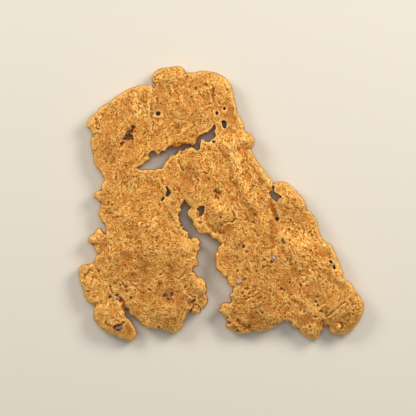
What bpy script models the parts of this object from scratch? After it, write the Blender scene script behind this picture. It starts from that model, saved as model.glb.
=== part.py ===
"""A flattened nugget of native gold lying on its back, with grains of quartz caught in its hollows.

+X runs across the nugget, +Y up it towards its top knob, and +Z out of the side that faces up. The
origin is on the surface it rests on, under the middle of its outline. Driving dimensions are in
millimetres. A place on the nugget is (across, down) from a datum corner above and left of it.
"""

import math

import bmesh
import bpy
import numpy as np
from mathutils import Vector, noise
from mathutils.kdtree import KDTree

MM = 0.001
WELD = 1e-6

# The plate, in millimetres
THICKNESS = 3.2
LEAST_HALF = 0.65
MIDDLE_HEIGHT = 1.9
BOW_HEIGHT = 0.9
BOW_CENTRE = (42.0, 43.0)
BOW_RADIUS = 30.0
OUTER_RIM = 1.3
SLOT_RIM = 0.8
HOLE_RIM = 0.4

# How finely it is modelled, in millimetres, and how many triangles are left in the end
OUTLINE_STEP = 0.15
FLAT_HALF = 0.25
VOXEL = 0.2
TRIANGLES = 9000

# The outline, one stretch after another, clockwise from the left end of the upper lobe
TOP_LEFT_LOBE = [
    (17.2, 25.1), (17.4, 24.3), (17.8, 23.6), (19.2, 22.5), (20.0, 21.4), (21.7, 20.4), (22.4, 20.0),
    (22.7, 19.6), (24.3, 18.6), (26.0, 17.6), (27.6, 17.0), (29.6, 16.9), (30.5, 17.0), (30.8, 17.4),
    (31.0, 17.0), (30.5, 16.4), (30.2, 16.0),
]
TOP_KNOB = [
    (30.3, 15.4), (31.0, 14.3), (32.2, 13.6), (34.0, 13.4), (35.8, 13.2), (36.5, 13.4), (36.9, 13.8),
    (37.1, 14.5), (37.4, 14.6), (37.8, 14.4),
]
UPPER_RIGHT_EDGE = [
    (38.8, 14.5), (40.2, 14.1), (41.0, 14.1), (43.1, 14.5), (44.8, 15.3), (45.5, 16.0), (46.1, 16.8),
    (46.8, 18.8), (47.2, 20.7), (47.4, 22.2), (48.4, 24.0), (49.0, 25.4), (48.8, 25.7), (49.0, 26.1),
    (50.0, 26.6), (50.8, 27.8), (51.0, 28.4), (50.8, 29.0), (50.2, 29.8), (50.8, 30.8), (51.2, 31.9),
    (52.2, 33.2), (53.6, 35.2), (54.5, 36.4), (54.7, 36.7), (55.0, 36.5),
]
RIGHT_LOBE_EDGE = [
    (55.6, 36.3), (57.3, 36.5), (58.4, 37.4), (60.0, 39.1), (61.0, 40.3), (61.4, 42.0), (61.8, 42.1),
    (62.7, 43.0), (63.4, 44.2), (64.0, 46.7), (65.0, 48.2), (66.0, 48.8), (66.9, 50.0), (68.1, 52.9),
    (68.7, 54.5), (68.6, 55.4),
]
RIGHT_FOOT_EDGE = [
    (69.4, 56.0), (70.6, 57.1), (71.6, 58.7), (72.6, 60.2), (72.9, 61.8), (72.3, 63.4), (71.6, 64.8),
    (70.0, 66.6), (68.4, 67.0), (66.7, 66.8), (66.2, 66.5), (65.6, 65.3), (64.8, 65.1), (64.6, 65.4),
    (64.8, 65.8), (64.2, 66.4), (64.1, 67.4), (62.9, 67.9), (61.6, 67.6), (60.2, 66.7), (59.6, 65.7),
    (58.9, 65.5), (58.3, 65.0), (58.1, 64.4),
]
RIGHT_LEG_LOWER_EDGE = [
    (56.8, 64.2), (55.6, 65.0), (53.9, 65.9), (52.2, 66.4), (50.9, 66.2), (50.6, 66.1), (50.1, 66.5),
    (48.3, 66.8), (46.9, 66.3), (45.3, 65.6), (45.0, 65.1), (45.4, 64.5),
]
NOTCH_RIGHT_SIDE = [
    (45.2, 64.1), (44.6, 63.1), (43.6, 62.3), (44.0, 61.8), (44.0, 61.2), (45.0, 60.5), (46.1, 60.5),
    (46.1, 60.0), (45.8, 59.0), (46.5, 58.4), (46.4, 57.9), (46.7, 57.5), (45.9, 57.2), (45.3, 55.6),
    (44.6, 55.4), (44.2, 54.5), (43.8, 54.3), (43.1, 53.5), (43.0, 52.1), (42.8, 51.1), (43.4, 50.2),
    (43.7, 49.2), (44.1, 48.9), (43.6, 48.4), (42.8, 47.9), (42.0, 47.2), (41.6, 46.9), (40.0, 46.8),
    (39.5, 46.6), (38.8, 45.4), (38.5, 44.8), (38.5, 44.3), (37.5, 43.4), (37.4, 42.2), (38.0, 41.5),
    (37.2, 40.6), (37.0, 40.2),
]
NOTCH_LEFT_SIDE = [
    (36.4, 41.0), (36.2, 41.5), (36.4, 42.0), (35.9, 42.7), (36.0, 43.4), (36.0, 44.2), (36.2, 45.2),
    (36.6, 45.1), (36.8, 45.4), (36.6, 45.7), (37.6, 46.3), (37.8, 46.6), (37.9, 47.5), (38.3, 47.7),
    (38.5, 47.3), (39.6, 47.5), (40.2, 48.4), (40.0, 49.1), (40.1, 50.0), (39.6, 50.3), (39.3, 51.5),
    (39.7, 52.6), (39.7, 53.1), (39.1, 53.3), (38.7, 53.5), (38.7, 54.3), (39.2, 54.4), (39.5, 55.3),
    (40.6, 55.7), (41.1, 56.2), (41.3, 56.9), (41.3, 58.8), (41.7, 60.0), (41.6, 60.6), (40.8, 61.9),
    (40.1, 62.0), (40.3, 62.3), (40.1, 62.7), (39.6, 62.8), (38.5, 62.7), (37.9, 62.1), (37.6, 62.5),
    (37.1, 63.7), (36.8, 64.4), (36.8, 65.0), (36.0, 66.1), (35.4, 66.5), (34.7, 66.6), (33.4, 66.3),
    (32.7, 66.2), (32.2, 65.8),
]
LOWER_LEFT_EDGE = [
    (30.9, 65.8), (29.6, 65.6), (28.2, 64.8), (27.1, 63.6), (26.7, 63.3), (26.3, 63.2), (25.9, 62.9),
    (25.7, 62.4), (25.7, 61.8), (25.0, 61.8),
]
LEFT_FOOT_EDGE = [
    (25.1, 62.8), (25.4, 63.4), (26.1, 64.1), (27.1, 65.8), (27.4, 67.2), (27.0, 67.7), (26.6, 68.2),
    (26.0, 68.3), (24.7, 67.9), (23.3, 67.2), (22.6, 67.0), (21.8, 66.8), (20.3, 65.9), (19.2, 64.5),
    (18.6, 63.2), (18.8, 61.8), (19.0, 61.3), (18.9, 61.0),
]
LEFT_BLOCK_EDGE = [
    (18.2, 60.9), (17.6, 60.5), (17.1, 59.8), (16.6, 58.2), (16.0, 56.6), (15.7, 55.3), (15.6, 54.4),
    (15.7, 53.7), (16.5, 52.9), (17.1, 52.8), (17.6, 52.9), (18.2, 52.6), (18.7, 52.4), (19.1, 51.4),
    (19.6, 50.8),
]
LEFT_EDGE = [
    (19.3, 50.6), (18.8, 49.6), (18.6, 49.1), (18.1, 48.9), (17.7, 48.6), (17.6, 48.1), (17.7, 47.5),
    (18.1, 47.0), (18.7, 46.7), (19.2, 46.0), (19.5, 45.6), (20.1, 45.5), (20.5, 46.2), (21.0, 46.7),
    (21.1, 46.0), (21.0, 45.2), (20.8, 44.8), (20.3, 44.5), (19.9, 43.6), (19.6, 43.1), (19.6, 42.6),
    (20.0, 41.4), (20.2, 40.8), (20.0, 40.5), (19.5, 40.2), (18.8, 39.7), (18.7, 39.1), (18.9, 38.7),
    (19.8, 38.0), (20.2, 38.0), (20.2, 37.4), (20.3, 36.7), (20.8, 36.0), (20.7, 35.7), (20.4, 35.2),
    (19.9, 34.3), (19.0, 33.1), (18.7, 32.3), (18.6, 31.5), (18.6, 30.9), (18.4, 30.4), (18.2, 29.6),
    (18.0, 28.1), (18.1, 27.8), (18.4, 27.5), (18.4, 27.1), (18.2, 26.5), (18.0, 26.0), (17.9, 25.8),
    (17.4, 25.6),
]

# The long slot under the upper lobe, and the smaller holes
SLOT = [
    (27.4, 33.5), (28.7, 33.0), (29.1, 32.5), (29.6, 32.2), (30.0, 32.0), (29.8, 31.4), (29.8, 30.9),
    (30.5, 30.3), (31.0, 30.4), (31.7, 31.1), (32.0, 30.9), (32.2, 30.5), (33.2, 30.4), (33.3, 30.1),
    (33.7, 29.5), (34.2, 29.3), (35.0, 29.6), (36.0, 29.3), (36.4, 29.0), (37.1, 28.9), (38.0, 29.0),
    (38.4, 29.1), (39.3, 28.8), (39.5, 27.8), (39.9, 27.2), (40.7, 26.9), (41.6, 26.6), (42.4, 25.7),
    (42.9, 25.0), (43.0, 25.8), (42.8, 26.2), (43.0, 27.1), (42.7, 27.6), (41.9, 28.3), (41.1, 28.2),
    (40.6, 27.8), (40.3, 28.1), (40.1, 28.8), (40.0, 29.7), (39.4, 30.1), (38.6, 29.8), (37.6, 29.7),
    (37.2, 29.7), (36.7, 30.0), (35.6, 30.1), (35.1, 31.0), (34.5, 30.9), (33.7, 31.5), (33.1, 32.3),
    (32.6, 33.3), (32.2, 33.7), (31.5, 33.7), (31.1, 33.9), (30.3, 33.8), (29.5, 33.9), (28.6, 33.9),
    (27.7, 33.7),
]
HOLE_BY_RIGHT_LOBE = [
    (54.7, 37.2), (54.8, 37.7), (54.7, 38.2), (55.5, 38.9), (56.1, 39.2), (56.2, 39.5), (55.7, 39.5),
    (55.6, 40.0), (55.2, 40.3), (54.4, 39.6), (53.8, 38.5), (54.2, 38.4), (54.4, 37.9), (54.5, 37.3),
]
HOLE_BESIDE_DOME = [
    (40.1, 41.4), (40.8, 41.4), (40.7, 42.2), (40.6, 42.7), (40.1, 43.2), (39.9, 42.9), (39.9, 42.3),
    (39.5, 41.9), (39.4, 41.8), (39.8, 41.6),
]
HOLE_ABOVE_NOTCH = [
    (33.35, 37.45), (33.75, 37.9), (34.15, 38.35), (34.1, 38.85), (33.5, 39.25), (33.25, 39.05),
    (33.5, 38.25),
]
HOLE_UNDER_SHOULDER = [
    (44.4, 24.4), (44.8, 24.2), (45.1, 24.4), (45.2, 24.7), (45.2, 25.5), (44.9, 25.6), (44.6, 25.4),
    (44.5, 24.9),
]
# Round holes: (across, down, width, height)
ROUND_HOLES = [
    (31.6, 22.8, 0.8, 0.7),
    (43.4, 22.7, 0.5, 0.7),
    (55.4, 43.8, 0.6, 0.6),
    (66.2, 52.4, 0.5, 0.7),
    (66.9, 53.6, 0.5, 0.8),
]
ROUND_HOLE_POINTS = 10

# Relief of the side that faces up. Lumps and hollows: (across, down, radius, height)
LUMPS = [
    (44.4, 42.2, 3.4, 0.9),  # the dome above the notch
    (33.6, 15.2, 3.2, 0.6),  # the top knob
    (44.2, 17.6, 4.2, 0.5),  # the upper right pillow
    (58.4, 39.6, 4.2, 0.8),  # the right lobe
    (49.8, 28.0, 1.8, 0.5),  # the small knob on the right edge
    (46.2, 29.0, 3.2, 0.35),
    (36.6, 49.0, 2.6, 0.55),  # the bulge over the left leg's ledge
    (21.8, 64.0, 4.2, 0.7),  # the left foot
    (17.8, 56.6, 2.8, 0.5),  # the left block
    (40.2, 58.0, 2.2, 0.5),  # the knob inside the left leg
    (31.6, 63.2, 4.4, 0.6),  # the lower left lobe
    (20.4, 60.6, 2.0, 0.3),
    (60.6, 49.4, 3.4, 0.45),
    (68.6, 61.6, 5.0, 0.7),  # the right foot
    (62.4, 66.0, 2.4, 0.5),  # the small foot
    (67.8, 65.4, 0.9, 0.4),
    (24.6, 25.4, 5.0, 0.35),
    (18.8, 47.8, 1.6, 0.4),
    (48.4, 65.0, 2.4, 0.35),
    (38.0, 35.2, 3.6, -0.35),
    (43.2, 38.2, 1.6, -0.5),
    (29.4, 53.6, 3.6, -0.35),
    (34.0, 59.4, 2.2, -0.4),
    (50.8, 40.6, 2.2, -0.35),
    (56.2, 57.2, 3.6, -0.35),
    (63.2, 59.6, 2.6, -0.4),
    (45.8, 52.0, 3.0, -0.3),
    (26.0, 26.6, 1.2, -0.3),
]
# Ridges and grooves along a path: (width, height, path)
RIDGES = [
    (1.7, 0.50, [(47.2, 31.6), (48.0, 35.2), (49.2, 38.0), (51.6, 41.2)]),
    (1.2, 0.30, [(52.4, 34.4), (53.6, 36.4)]),
    (1.6, 0.50, [(56.6, 47.2), (58.4, 49.4), (60.0, 52.4)]),
    (1.5, 0.45, [(58.6, 47.2), (62.0, 50.4), (66.0, 53.6), (68.6, 56.0)]),
    (1.2, 0.35, [(59.6, 59.2), (61.6, 61.0), (63.6, 63.6)]),
    (1.1, 0.30, [(26.6, 19.0), (27.4, 23.6)]),
    (1.4, 0.30, [(25.0, 42.0), (27.6, 45.6), (28.0, 49.0)]),
]
GROOVES = [
    (1.5, 0.95, [(55.2, 40.2), (54.6, 41.2), (54.4, 42.6), (54.8, 43.6), (54.4, 46.4), (54.2, 50.0)]),
    (0.9, 0.50, [(53.8, 44.4), (54.8, 43.6), (55.9, 44.4)]),
    (1.0, 0.60, [(41.2, 43.2), (41.4, 44.8), (42.8, 46.2), (44.4, 46.6), (46.0, 45.6), (46.8, 44.0),
                 (47.0, 42.4)]),
    (1.2, 0.80, [(25.2, 61.8), (24.6, 60.6), (23.4, 59.4), (21.8, 59.4), (20.6, 60.0), (19.2, 61.0)]),
    (0.8, 0.50, [(65.4, 63.2), (66.5, 62.3), (67.3, 61.9), (68.5, 61.3)]),
    (0.9, 0.50, [(64.3, 64.0), (64.9, 64.6), (65.2, 65.2)]),
    (0.8, 0.45, [(47.7, 64.5), (49.5, 65.7)]),
    (0.7, 0.35, [(30.5, 15.8), (31.2, 15.2), (32.0, 14.6), (32.8, 14.4)]),
    (0.7, 0.35, [(16.8, 55.4), (17.6, 54.4)]),
    (0.8, 0.35, [(50.2, 44.4), (51.2, 44.9)]),
    (0.8, 0.40, [(54.4, 53.0), (52.4, 53.8), (51.0, 54.4)]),
]
# Ledges: (width, height, path), the side on the left of the path standing proud
LEDGES = [
    (1.8, 0.40, [(39.2, 51.3), (37.6, 51.6), (35.8, 51.3)]),
    (1.6, 0.30, [(30.2, 23.8), (30.1, 21.0), (30.2, 18.2)]),
    (1.2, 0.30, [(30.8, 26.4), (30.8, 24.2)]),
    (1.4, 0.35, [(26.5, 57.2), (28.6, 58.0), (30.2, 58.2)]),
    (1.6, 0.30, [(31.4, 36.4), (32.6, 38.4), (33.0, 40.8), (34.4, 43.2)]),
]
LEDGE_EDGE = 0.35
# Pits: (across, down, radius, depth)
PITS = [
    (23.6, 65.5, 1.1, 0.9),
    (21.9, 59.4, 0.7, 0.5),
    (26.2, 59.6, 0.6, 0.5),
    (24.0, 60.1, 0.6, 0.6),
    (28.6, 57.1, 0.6, 0.4),
    (29.9, 58.0, 0.5, 0.4),
    (21.3, 64.6, 0.6, 0.4),
    (17.6, 58.4, 0.6, 0.4),
    (19.0, 59.3, 0.5, 0.4),
    (17.0, 55.0, 0.5, 0.4),
    (25.3, 57.2, 0.6, 0.4),
    (37.1, 57.3, 0.6, 0.4),
    (38.7, 60.2, 0.6, 0.4),
    (38.4, 62.0, 0.5, 0.4),
    (33.6, 48.9, 0.6, 0.3),
    (48.6, 49.1, 0.6, 0.4),
    (49.3, 50.4, 0.6, 0.4),
    (43.0, 46.3, 0.5, 0.4),
    (52.9, 51.9, 0.6, 0.4),
    (54.4, 52.4, 0.7, 0.5),
    (56.6, 48.4, 0.6, 0.4),
    (49.1, 51.7, 0.5, 0.3),
    (47.5, 54.1, 0.6, 0.4),
    (62.4, 47.1, 0.6, 0.3),
    (59.2, 52.4, 0.5, 0.3),
    (61.2, 59.4, 0.6, 0.4),
    (63.2, 60.8, 0.7, 0.4),
    (63.1, 63.3, 0.5, 0.4),
    (61.9, 65.3, 0.5, 0.4),
    (48.8, 55.8, 0.5, 0.4),
    (49.5, 57.7, 0.5, 0.4),
    (52.4, 62.6, 0.6, 0.4),
    (45.9, 64.6, 0.6, 0.4),
    (48.3, 64.3, 0.6, 0.5),
    (43.4, 38.4, 0.7, 0.5),
    (39.2, 17.8, 0.6, 0.3),
    (19.5, 25.7, 0.6, 0.3),
    (36.6, 34.0, 0.6, 0.3),
]

# Dimples and swellings all over: (how far apart, how high)
UPPER_SWELLS = [(6.0, 0.30), (2.6, 0.26), (1.3, 0.16)]
UNDER_SWELLS = [(8.0, 0.35), (3.2, 0.30), (1.6, 0.16)]
# How far every line of the relief wanders, and over what distance
WANDER = 0.55
WANDER_APART = 2.2
# How far apart two layers of noise are read, so that they don't repeat each other
LAYER_APART = 10.0
# Where the underside is worn flat against what it rests on: (across, down, radius, depth)
WORN_FLATS = [
    (36.0, 18.0, 6.0, 0.9),
    (21.5, 50.0, 5.5, 0.9),
    (29.0, 61.0, 5.5, 0.8),
    (65.5, 59.5, 6.0, 0.9),
    (50.5, 60.5, 5.0, 0.7),
]

# Quartz grains: (name, across, down, length, width, turn in degrees)
GRAINS = [
    ("quartz_at_notch", 47.8, 56.4, 1.0, 0.9, 10),
    ("quartz_in_fold_valley", 54.8, 51.5, 1.0, 0.7, -35),
    ("quartz_in_edge_slit", 65.9, 53.1, 0.7, 0.6, -50),
    ("quartz_on_right_shoulder", 47.4, 49.3, 0.8, 0.7, 0),
    ("quartz_in_left_hollow", 23.5, 59.5, 0.9, 0.8, 40),
    ("quartz_beside_foot_groove", 25.1, 60.8, 0.8, 0.6, 20),
    ("quartz_in_left_foot", 23.6, 65.7, 1.1, 0.9, -20),
    ("quartz_in_lower_left_lobe", 33.9, 59.7, 0.9, 0.7, 0),
]
GRAIN_HEIGHT = 0.7
GRAIN_SUNK = 0.2
GRAIN_GAP = 0.2
GRAIN_ROUGHNESS = 0.25
GRAIN_FACETS = 1.3


def smooth_loop(points):
    """The points of a closed Catmull-Rom curve through these, about OUTLINE_STEP apart."""
    points = [Vector(point) for point in points]
    made = []
    for i, start in enumerate(points):
        before = points[i - 1]
        end = points[(i + 1) % len(points)]
        after = points[(i + 2) % len(points)]
        steps = max(1, round((end - start).length / OUTLINE_STEP))
        for step in range(steps):
            t = step / steps
            made.append(
                0.5 * (2 * start + (end - before) * t
                       + (2 * before - 5 * start + 4 * end - after) * t ** 2
                       + (3 * start - before - 3 * end + after) * t ** 3)
            )
    return np.array([tuple(point) for point in made])


def ellipse(across, down, width, height):
    """A closed loop of points round a hole."""
    turns = [math.tau * i / ROUND_HOLE_POINTS for i in range(ROUND_HOLE_POINTS)]
    return [(across + width / 2 * math.cos(t), down + height / 2 * math.sin(t)) for t in turns]


def all_loops():
    """(smooth points, rim radius, 1 for the outline or -1 for a hole) of each closed loop."""
    outline = (
        TOP_LEFT_LOBE + TOP_KNOB + UPPER_RIGHT_EDGE + RIGHT_LOBE_EDGE + RIGHT_FOOT_EDGE
        + RIGHT_LEG_LOWER_EDGE + NOTCH_RIGHT_SIDE + NOTCH_LEFT_SIDE + LOWER_LEFT_EDGE
        + LEFT_FOOT_EDGE + LEFT_BLOCK_EDGE + LEFT_EDGE
    )
    holes = [HOLE_BY_RIGHT_LOBE, HOLE_BESIDE_DOME, HOLE_ABOVE_NOTCH, HOLE_UNDER_SHOULDER]
    holes += [ellipse(*hole) for hole in ROUND_HOLES]
    loops = [(smooth_loop(outline), OUTER_RIM, 1), (smooth_loop(SLOT), SLOT_RIM, -1)]
    return loops + [(smooth_loop(hole), HOLE_RIM, -1) for hole in holes]


LOOPS = all_loops()
CENTRE = (LOOPS[0][0].min(axis=0) + LOOPS[0][0].max(axis=0)) / 2


def placed(places):
    """(across, down) places as X and Y in millimetres from the middle of the outline."""
    places = np.asarray(places, float)
    return (places[..., :2] - CENTRE) * (1, -1)


def falloff(distance, radius):
    """1 in the middle, and down smoothly to 0 at the radius and past it."""
    return (1 - np.clip(distance / radius, 0, 1) ** 2) ** 2


def bump(xy, across, down, radius, height):
    return height * falloff(np.linalg.norm(xy - placed((across, down)), axis=1), radius)


def to_path(xy, path):
    """How far each point is from a path, and which side of it: 1 on its left, -1 on its right."""
    corners = placed(path)
    nearest = np.full(len(xy), np.inf)
    side = np.zeros(len(xy))
    for start, end in zip(corners[:-1], corners[1:]):
        along = end - start
        t = np.clip((xy - start) @ along / (along @ along), 0, 1)
        away = xy - start - t[:, None] * along
        distance = np.linalg.norm(away, axis=1)
        across = along[0] * away[:, 1] - along[1] * away[:, 0]
        closer = distance < nearest
        side[closer] = np.sign(across[closer])
        nearest[closer] = distance[closer]
    return nearest, side


def line(xy, width, height, path):
    return height * falloff(to_path(xy, path)[0], width)


def ledge(xy, width, height, path):
    """A step up onto the left side of the path, which dies away on both sides."""
    distance, side = to_path(xy, path)
    return height / 2 * side * np.minimum(distance / LEDGE_EDGE, 1) * falloff(distance, width)


def swells(xy, sizes, seed):
    """Smooth seeded noise, one layer for each (how far apart, how high)."""
    height = np.zeros(len(xy))
    for layer, (apart, high) in enumerate(sizes):
        offset = LAYER_APART * (seed + layer)
        height += [high * noise.noise((x / apart, y / apart, offset)) for x, y in xy]
    return height


def wandering(xy):
    """The points moved about a little, so that no lump, ledge or groove is drawn straight."""
    moved = []
    for x, y in xy:
        spot = Vector((x, y, 0)) / WANDER_APART
        moved.append((noise.noise(spot), noise.noise(spot + Vector((0, 0, LAYER_APART)))))
    return xy + WANDER * np.array(moved)


def bow(xy):
    """How far the middle of the plate stands above its edge."""
    return bump(xy, *BOW_CENTRE, BOW_RADIUS, BOW_HEIGHT)


def upper_relief(xy):
    """Height of the upper face over the plain plate."""
    height = swells(xy, UPPER_SWELLS, seed=1)
    xy = wandering(xy)
    for lump in LUMPS:
        height += bump(xy, *lump)
    for ridge in RIDGES:
        height += line(xy, *ridge)
    for step in LEDGES:
        height += ledge(xy, *step)
    for groove in GROOVES:
        height -= line(xy, *groove)
    for pit in PITS:
        height -= bump(xy, *pit)
    return height


def under_relief(xy):
    """Depth of the underside below the plain plate."""
    depth = swells(xy, UNDER_SWELLS, seed=5)
    for flat in WORN_FLATS:
        depth += bump(xy, *flat)
    return depth


def clear_scene():
    for old in list(bpy.data.objects):
        bpy.data.objects.remove(old, do_unlink=True)


def collection(name):
    made = bpy.data.collections.new(name)
    bpy.context.scene.collection.children.link(made)
    return made


def evaluated_mesh(item):
    """The mesh of an object with its modifiers done."""
    graph = bpy.context.evaluated_depsgraph_get()
    return bpy.data.meshes.new_from_object(item.evaluated_get(graph))


def flat_plate(home):
    """The outline and its holes as a thin flat plate."""
    curve = bpy.data.curves.new("outline", "CURVE")
    curve.dimensions = "2D"
    curve.fill_mode = "BOTH"
    curve.extrude = FLAT_HALF * MM
    for points, _, _ in LOOPS:
        spline = curve.splines.new("POLY")
        spline.points.add(len(points) - 1)
        spline.use_cyclic_u = True
        for spot, (x, y) in zip(spline.points, placed(points)):
            spot.co = (x * MM, y * MM, 0, 1)
    guide = bpy.data.objects.new("outline", curve)
    home.objects.link(guide)
    mesh = evaluated_mesh(guide)
    bpy.data.objects.remove(guide)
    form = bmesh.new()
    form.from_mesh(mesh)
    bmesh.ops.remove_doubles(form, verts=form.verts, dist=WELD)
    form.to_mesh(mesh)
    form.free()
    plate = bpy.data.objects.new("gold_nugget", mesh)
    home.objects.link(plate)
    return plate


def even_faces(plate):
    """One closed skin of small even faces, with any folds in it healed."""
    grid = plate.modifiers.new("even faces", "REMESH")
    grid.mode = "VOXEL"
    grid.voxel_size = VOXEL * MM
    plate.data = evaluated_mesh(plate)
    plate.modifiers.clear()


def rims_of(xy):
    """For each point: how far it is inside the nearest rim, the way inwards, and the rim's radius."""
    tree = KDTree(sum(len(points) for points, _, _ in LOOPS))
    places, inwards, radii = [], [], []
    for points, radius, kind in LOOPS:
        spots = placed(points)
        after, before = np.roll(spots, -1, axis=0), np.roll(spots, 1, axis=0)
        along = after - before
        area = np.sum(spots[:, 0] * after[:, 1] - after[:, 0] * spots[:, 1])
        inward = np.stack([-along[:, 1], along[:, 0]], axis=1) * np.sign(kind * area)
        inward /= np.linalg.norm(inward, axis=1, keepdims=True)
        places.append(spots)
        inwards.append(inward)
        radii.append(np.full(len(spots), radius))
    places, inwards, radii = np.concatenate(places), np.concatenate(inwards), np.concatenate(radii)
    for i, (x, y) in enumerate(places):
        tree.insert((x, y, 0), i)
    tree.balance()
    found = np.array([tree.find((x, y, 0))[1] for x, y in xy])
    away = xy - places[found]
    depth = np.maximum(np.sum(away * inwards[found], axis=1), 0)
    distance = np.linalg.norm(away, axis=1)
    inside = distance > OUTLINE_STEP
    inward = inwards[found]
    towards = np.sum(away * inward, axis=1) > 0
    fan = inside & towards
    inward[fan] = away[fan] / distance[fan, None]
    depth[fan] = distance[fan]
    return depth, inward, radii[found]


def raise_relief(plate):
    """Moves the flat plate's points into the nugget's form: round rims, thickness, bow and relief."""
    count = len(plate.data.vertices)
    points = np.empty(count * 3)
    plate.data.vertices.foreach_get("co", points)
    points = points.reshape(-1, 3) / MM
    xy = points[:, :2]
    level = np.clip(points[:, 2] / FLAT_HALF, -1, 1)
    depth, inward, radius = rims_of(xy)
    around = np.abs(level) * FLAT_HALF + depth
    angle = math.pi / 2 * np.minimum(around / (FLAT_HALF + radius), 1)
    rim = around < FLAT_HALF + radius
    inset = np.where(rim, radius * (1 - np.cos(angle)), depth)
    middle = MIDDLE_HEIGHT + bow(xy)
    up = THICKNESS / 2 + upper_relief(xy)
    down = THICKNESS / 2 + under_relief(xy)
    half = np.where(level > 0, up, down)
    points[:, :2] = xy + inward * (inset - depth)[:, None]
    points[:, 2] = middle + np.sign(level) * np.sin(angle) * np.maximum(half, LEAST_HALF)
    plate.data.vertices.foreach_set("co", (points * MM).ravel())
    plate.data.update()


def thin_out(plate):
    """Fewer faces, and the underside worn flat where it reaches what it rests on."""
    fewer = plate.modifiers.new("fewer faces", "DECIMATE")
    triangles = sum(len(face.vertices) - 2 for face in plate.data.polygons)
    fewer.ratio = TRIANGLES / triangles
    fewer.use_collapse_triangulate = True
    plate.data = evaluated_mesh(plate)
    plate.modifiers.clear()
    for point in plate.data.vertices:
        point.co.z = max(point.co.z, 0)


def principled(name, colour, metallic, roughness):
    made = bpy.data.materials.new(name)
    made.use_nodes = True
    shader = made.node_tree.nodes["Principled BSDF"]
    shader.inputs["Base Color"].default_value = (*colour, 1)
    shader.inputs["Metallic"].default_value = metallic
    shader.inputs["Roughness"].default_value = roughness
    made.diffuse_color = (*colour, 1)
    return made


def grain_mesh(name, length, width, seed, grow):
    """A broken grain, grow millimetres bigger all round."""
    form = bmesh.new()
    bmesh.ops.create_icosphere(form, subdivisions=1, radius=1)
    for corner in form.verts:
        spot = corner.co * GRAIN_FACETS + Vector((seed * LAYER_APART, 0, 0))
        corner.co *= 1 + GRAIN_ROUGHNESS * noise.noise(spot)
        half = Vector((length / 2 + grow, width / 2 + grow, GRAIN_HEIGHT / 2 + grow))
        corner.co = Vector(a * b for a, b in zip(corner.co, half)) * MM
    mesh = bpy.data.meshes.new(name)
    form.to_mesh(mesh)
    form.free()
    return mesh


def add_grains(nugget, home, cutters, quartz):
    """Each quartz grain in a seat cut for it in the gold."""
    for seed, (name, across, down, length, width, turn) in enumerate(GRAINS):
        x, y = placed((across, down))
        spot = np.array([[x, y]])
        top = MIDDLE_HEIGHT + bow(spot) + THICKNESS / 2 + upper_relief(spot)
        place = Vector((x, y, top[0] - GRAIN_SUNK)) * MM
        grain = bpy.data.objects.new(name, grain_mesh(name, length, width, seed, 0))
        grain.data.materials.append(quartz)
        home.objects.link(grain)
        seat = bpy.data.objects.new("seat_of_" + name, grain_mesh(name, length, width, seed, GRAIN_GAP))
        cutters.objects.link(seat)
        seat.hide_render = True
        seat.display_type = "WIRE"
        for item in (grain, seat):
            item.location = place
            item.rotation_euler.z = math.radians(turn)
    cut = nugget.modifiers.new("quartz seats", "BOOLEAN")
    cut.operation = "DIFFERENCE"
    cut.operand_type = "COLLECTION"
    cut.collection = cutters
    cut.solver = "EXACT"


def main():
    clear_scene()
    home = collection("gold nugget")
    cutters = collection("cutters")
    gold = principled("native gold", (0.72, 0.40, 0.10), metallic=1.0, roughness=0.42)
    quartz = principled("quartz", (0.62, 0.55, 0.58), metallic=0.0, roughness=0.35)
    nugget = flat_plate(home)
    even_faces(nugget)
    raise_relief(nugget)
    even_faces(nugget)
    thin_out(nugget)
    nugget.data.materials.clear()
    nugget.data.materials.append(gold)
    add_grains(nugget, home, cutters, quartz)


main()
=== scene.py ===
# %% [markdown]
# # A flattened nugget of native gold
#
# A nugget like this one is a plate of soft native gold that a stream has hammered flat. Its edge is
# ragged and rolled over, its faces are crumpled like felt, a fold has left a long slot through it,
# and sand-sized grains of quartz are caught in its hollows. It lies on its back, so the side with
# the best relief faces up.
#
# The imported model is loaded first, as a fixed frame. Each of its nodes is then replaced by a finer
# piece in the same place.

# %% Load the frame
import math

import bpy
import numpy as np
from mathutils import Matrix, Vector, noise
from mathutils.kdtree import KDTree


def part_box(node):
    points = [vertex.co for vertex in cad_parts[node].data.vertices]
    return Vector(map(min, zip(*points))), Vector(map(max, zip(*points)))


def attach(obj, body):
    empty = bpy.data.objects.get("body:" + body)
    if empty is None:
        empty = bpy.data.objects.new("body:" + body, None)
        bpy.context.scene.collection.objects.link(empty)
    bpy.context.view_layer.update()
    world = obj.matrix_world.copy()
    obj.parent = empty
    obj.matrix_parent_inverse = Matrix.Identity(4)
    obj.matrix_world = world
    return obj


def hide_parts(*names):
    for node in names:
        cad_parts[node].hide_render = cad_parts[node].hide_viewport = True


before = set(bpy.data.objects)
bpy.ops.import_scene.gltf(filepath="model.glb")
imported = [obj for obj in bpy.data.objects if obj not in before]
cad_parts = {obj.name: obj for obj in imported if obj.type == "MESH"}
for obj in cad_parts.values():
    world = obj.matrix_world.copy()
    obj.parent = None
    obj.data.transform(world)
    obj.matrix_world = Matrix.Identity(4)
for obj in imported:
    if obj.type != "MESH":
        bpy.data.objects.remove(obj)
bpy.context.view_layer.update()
print("nodes:", sorted(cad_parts))
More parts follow.
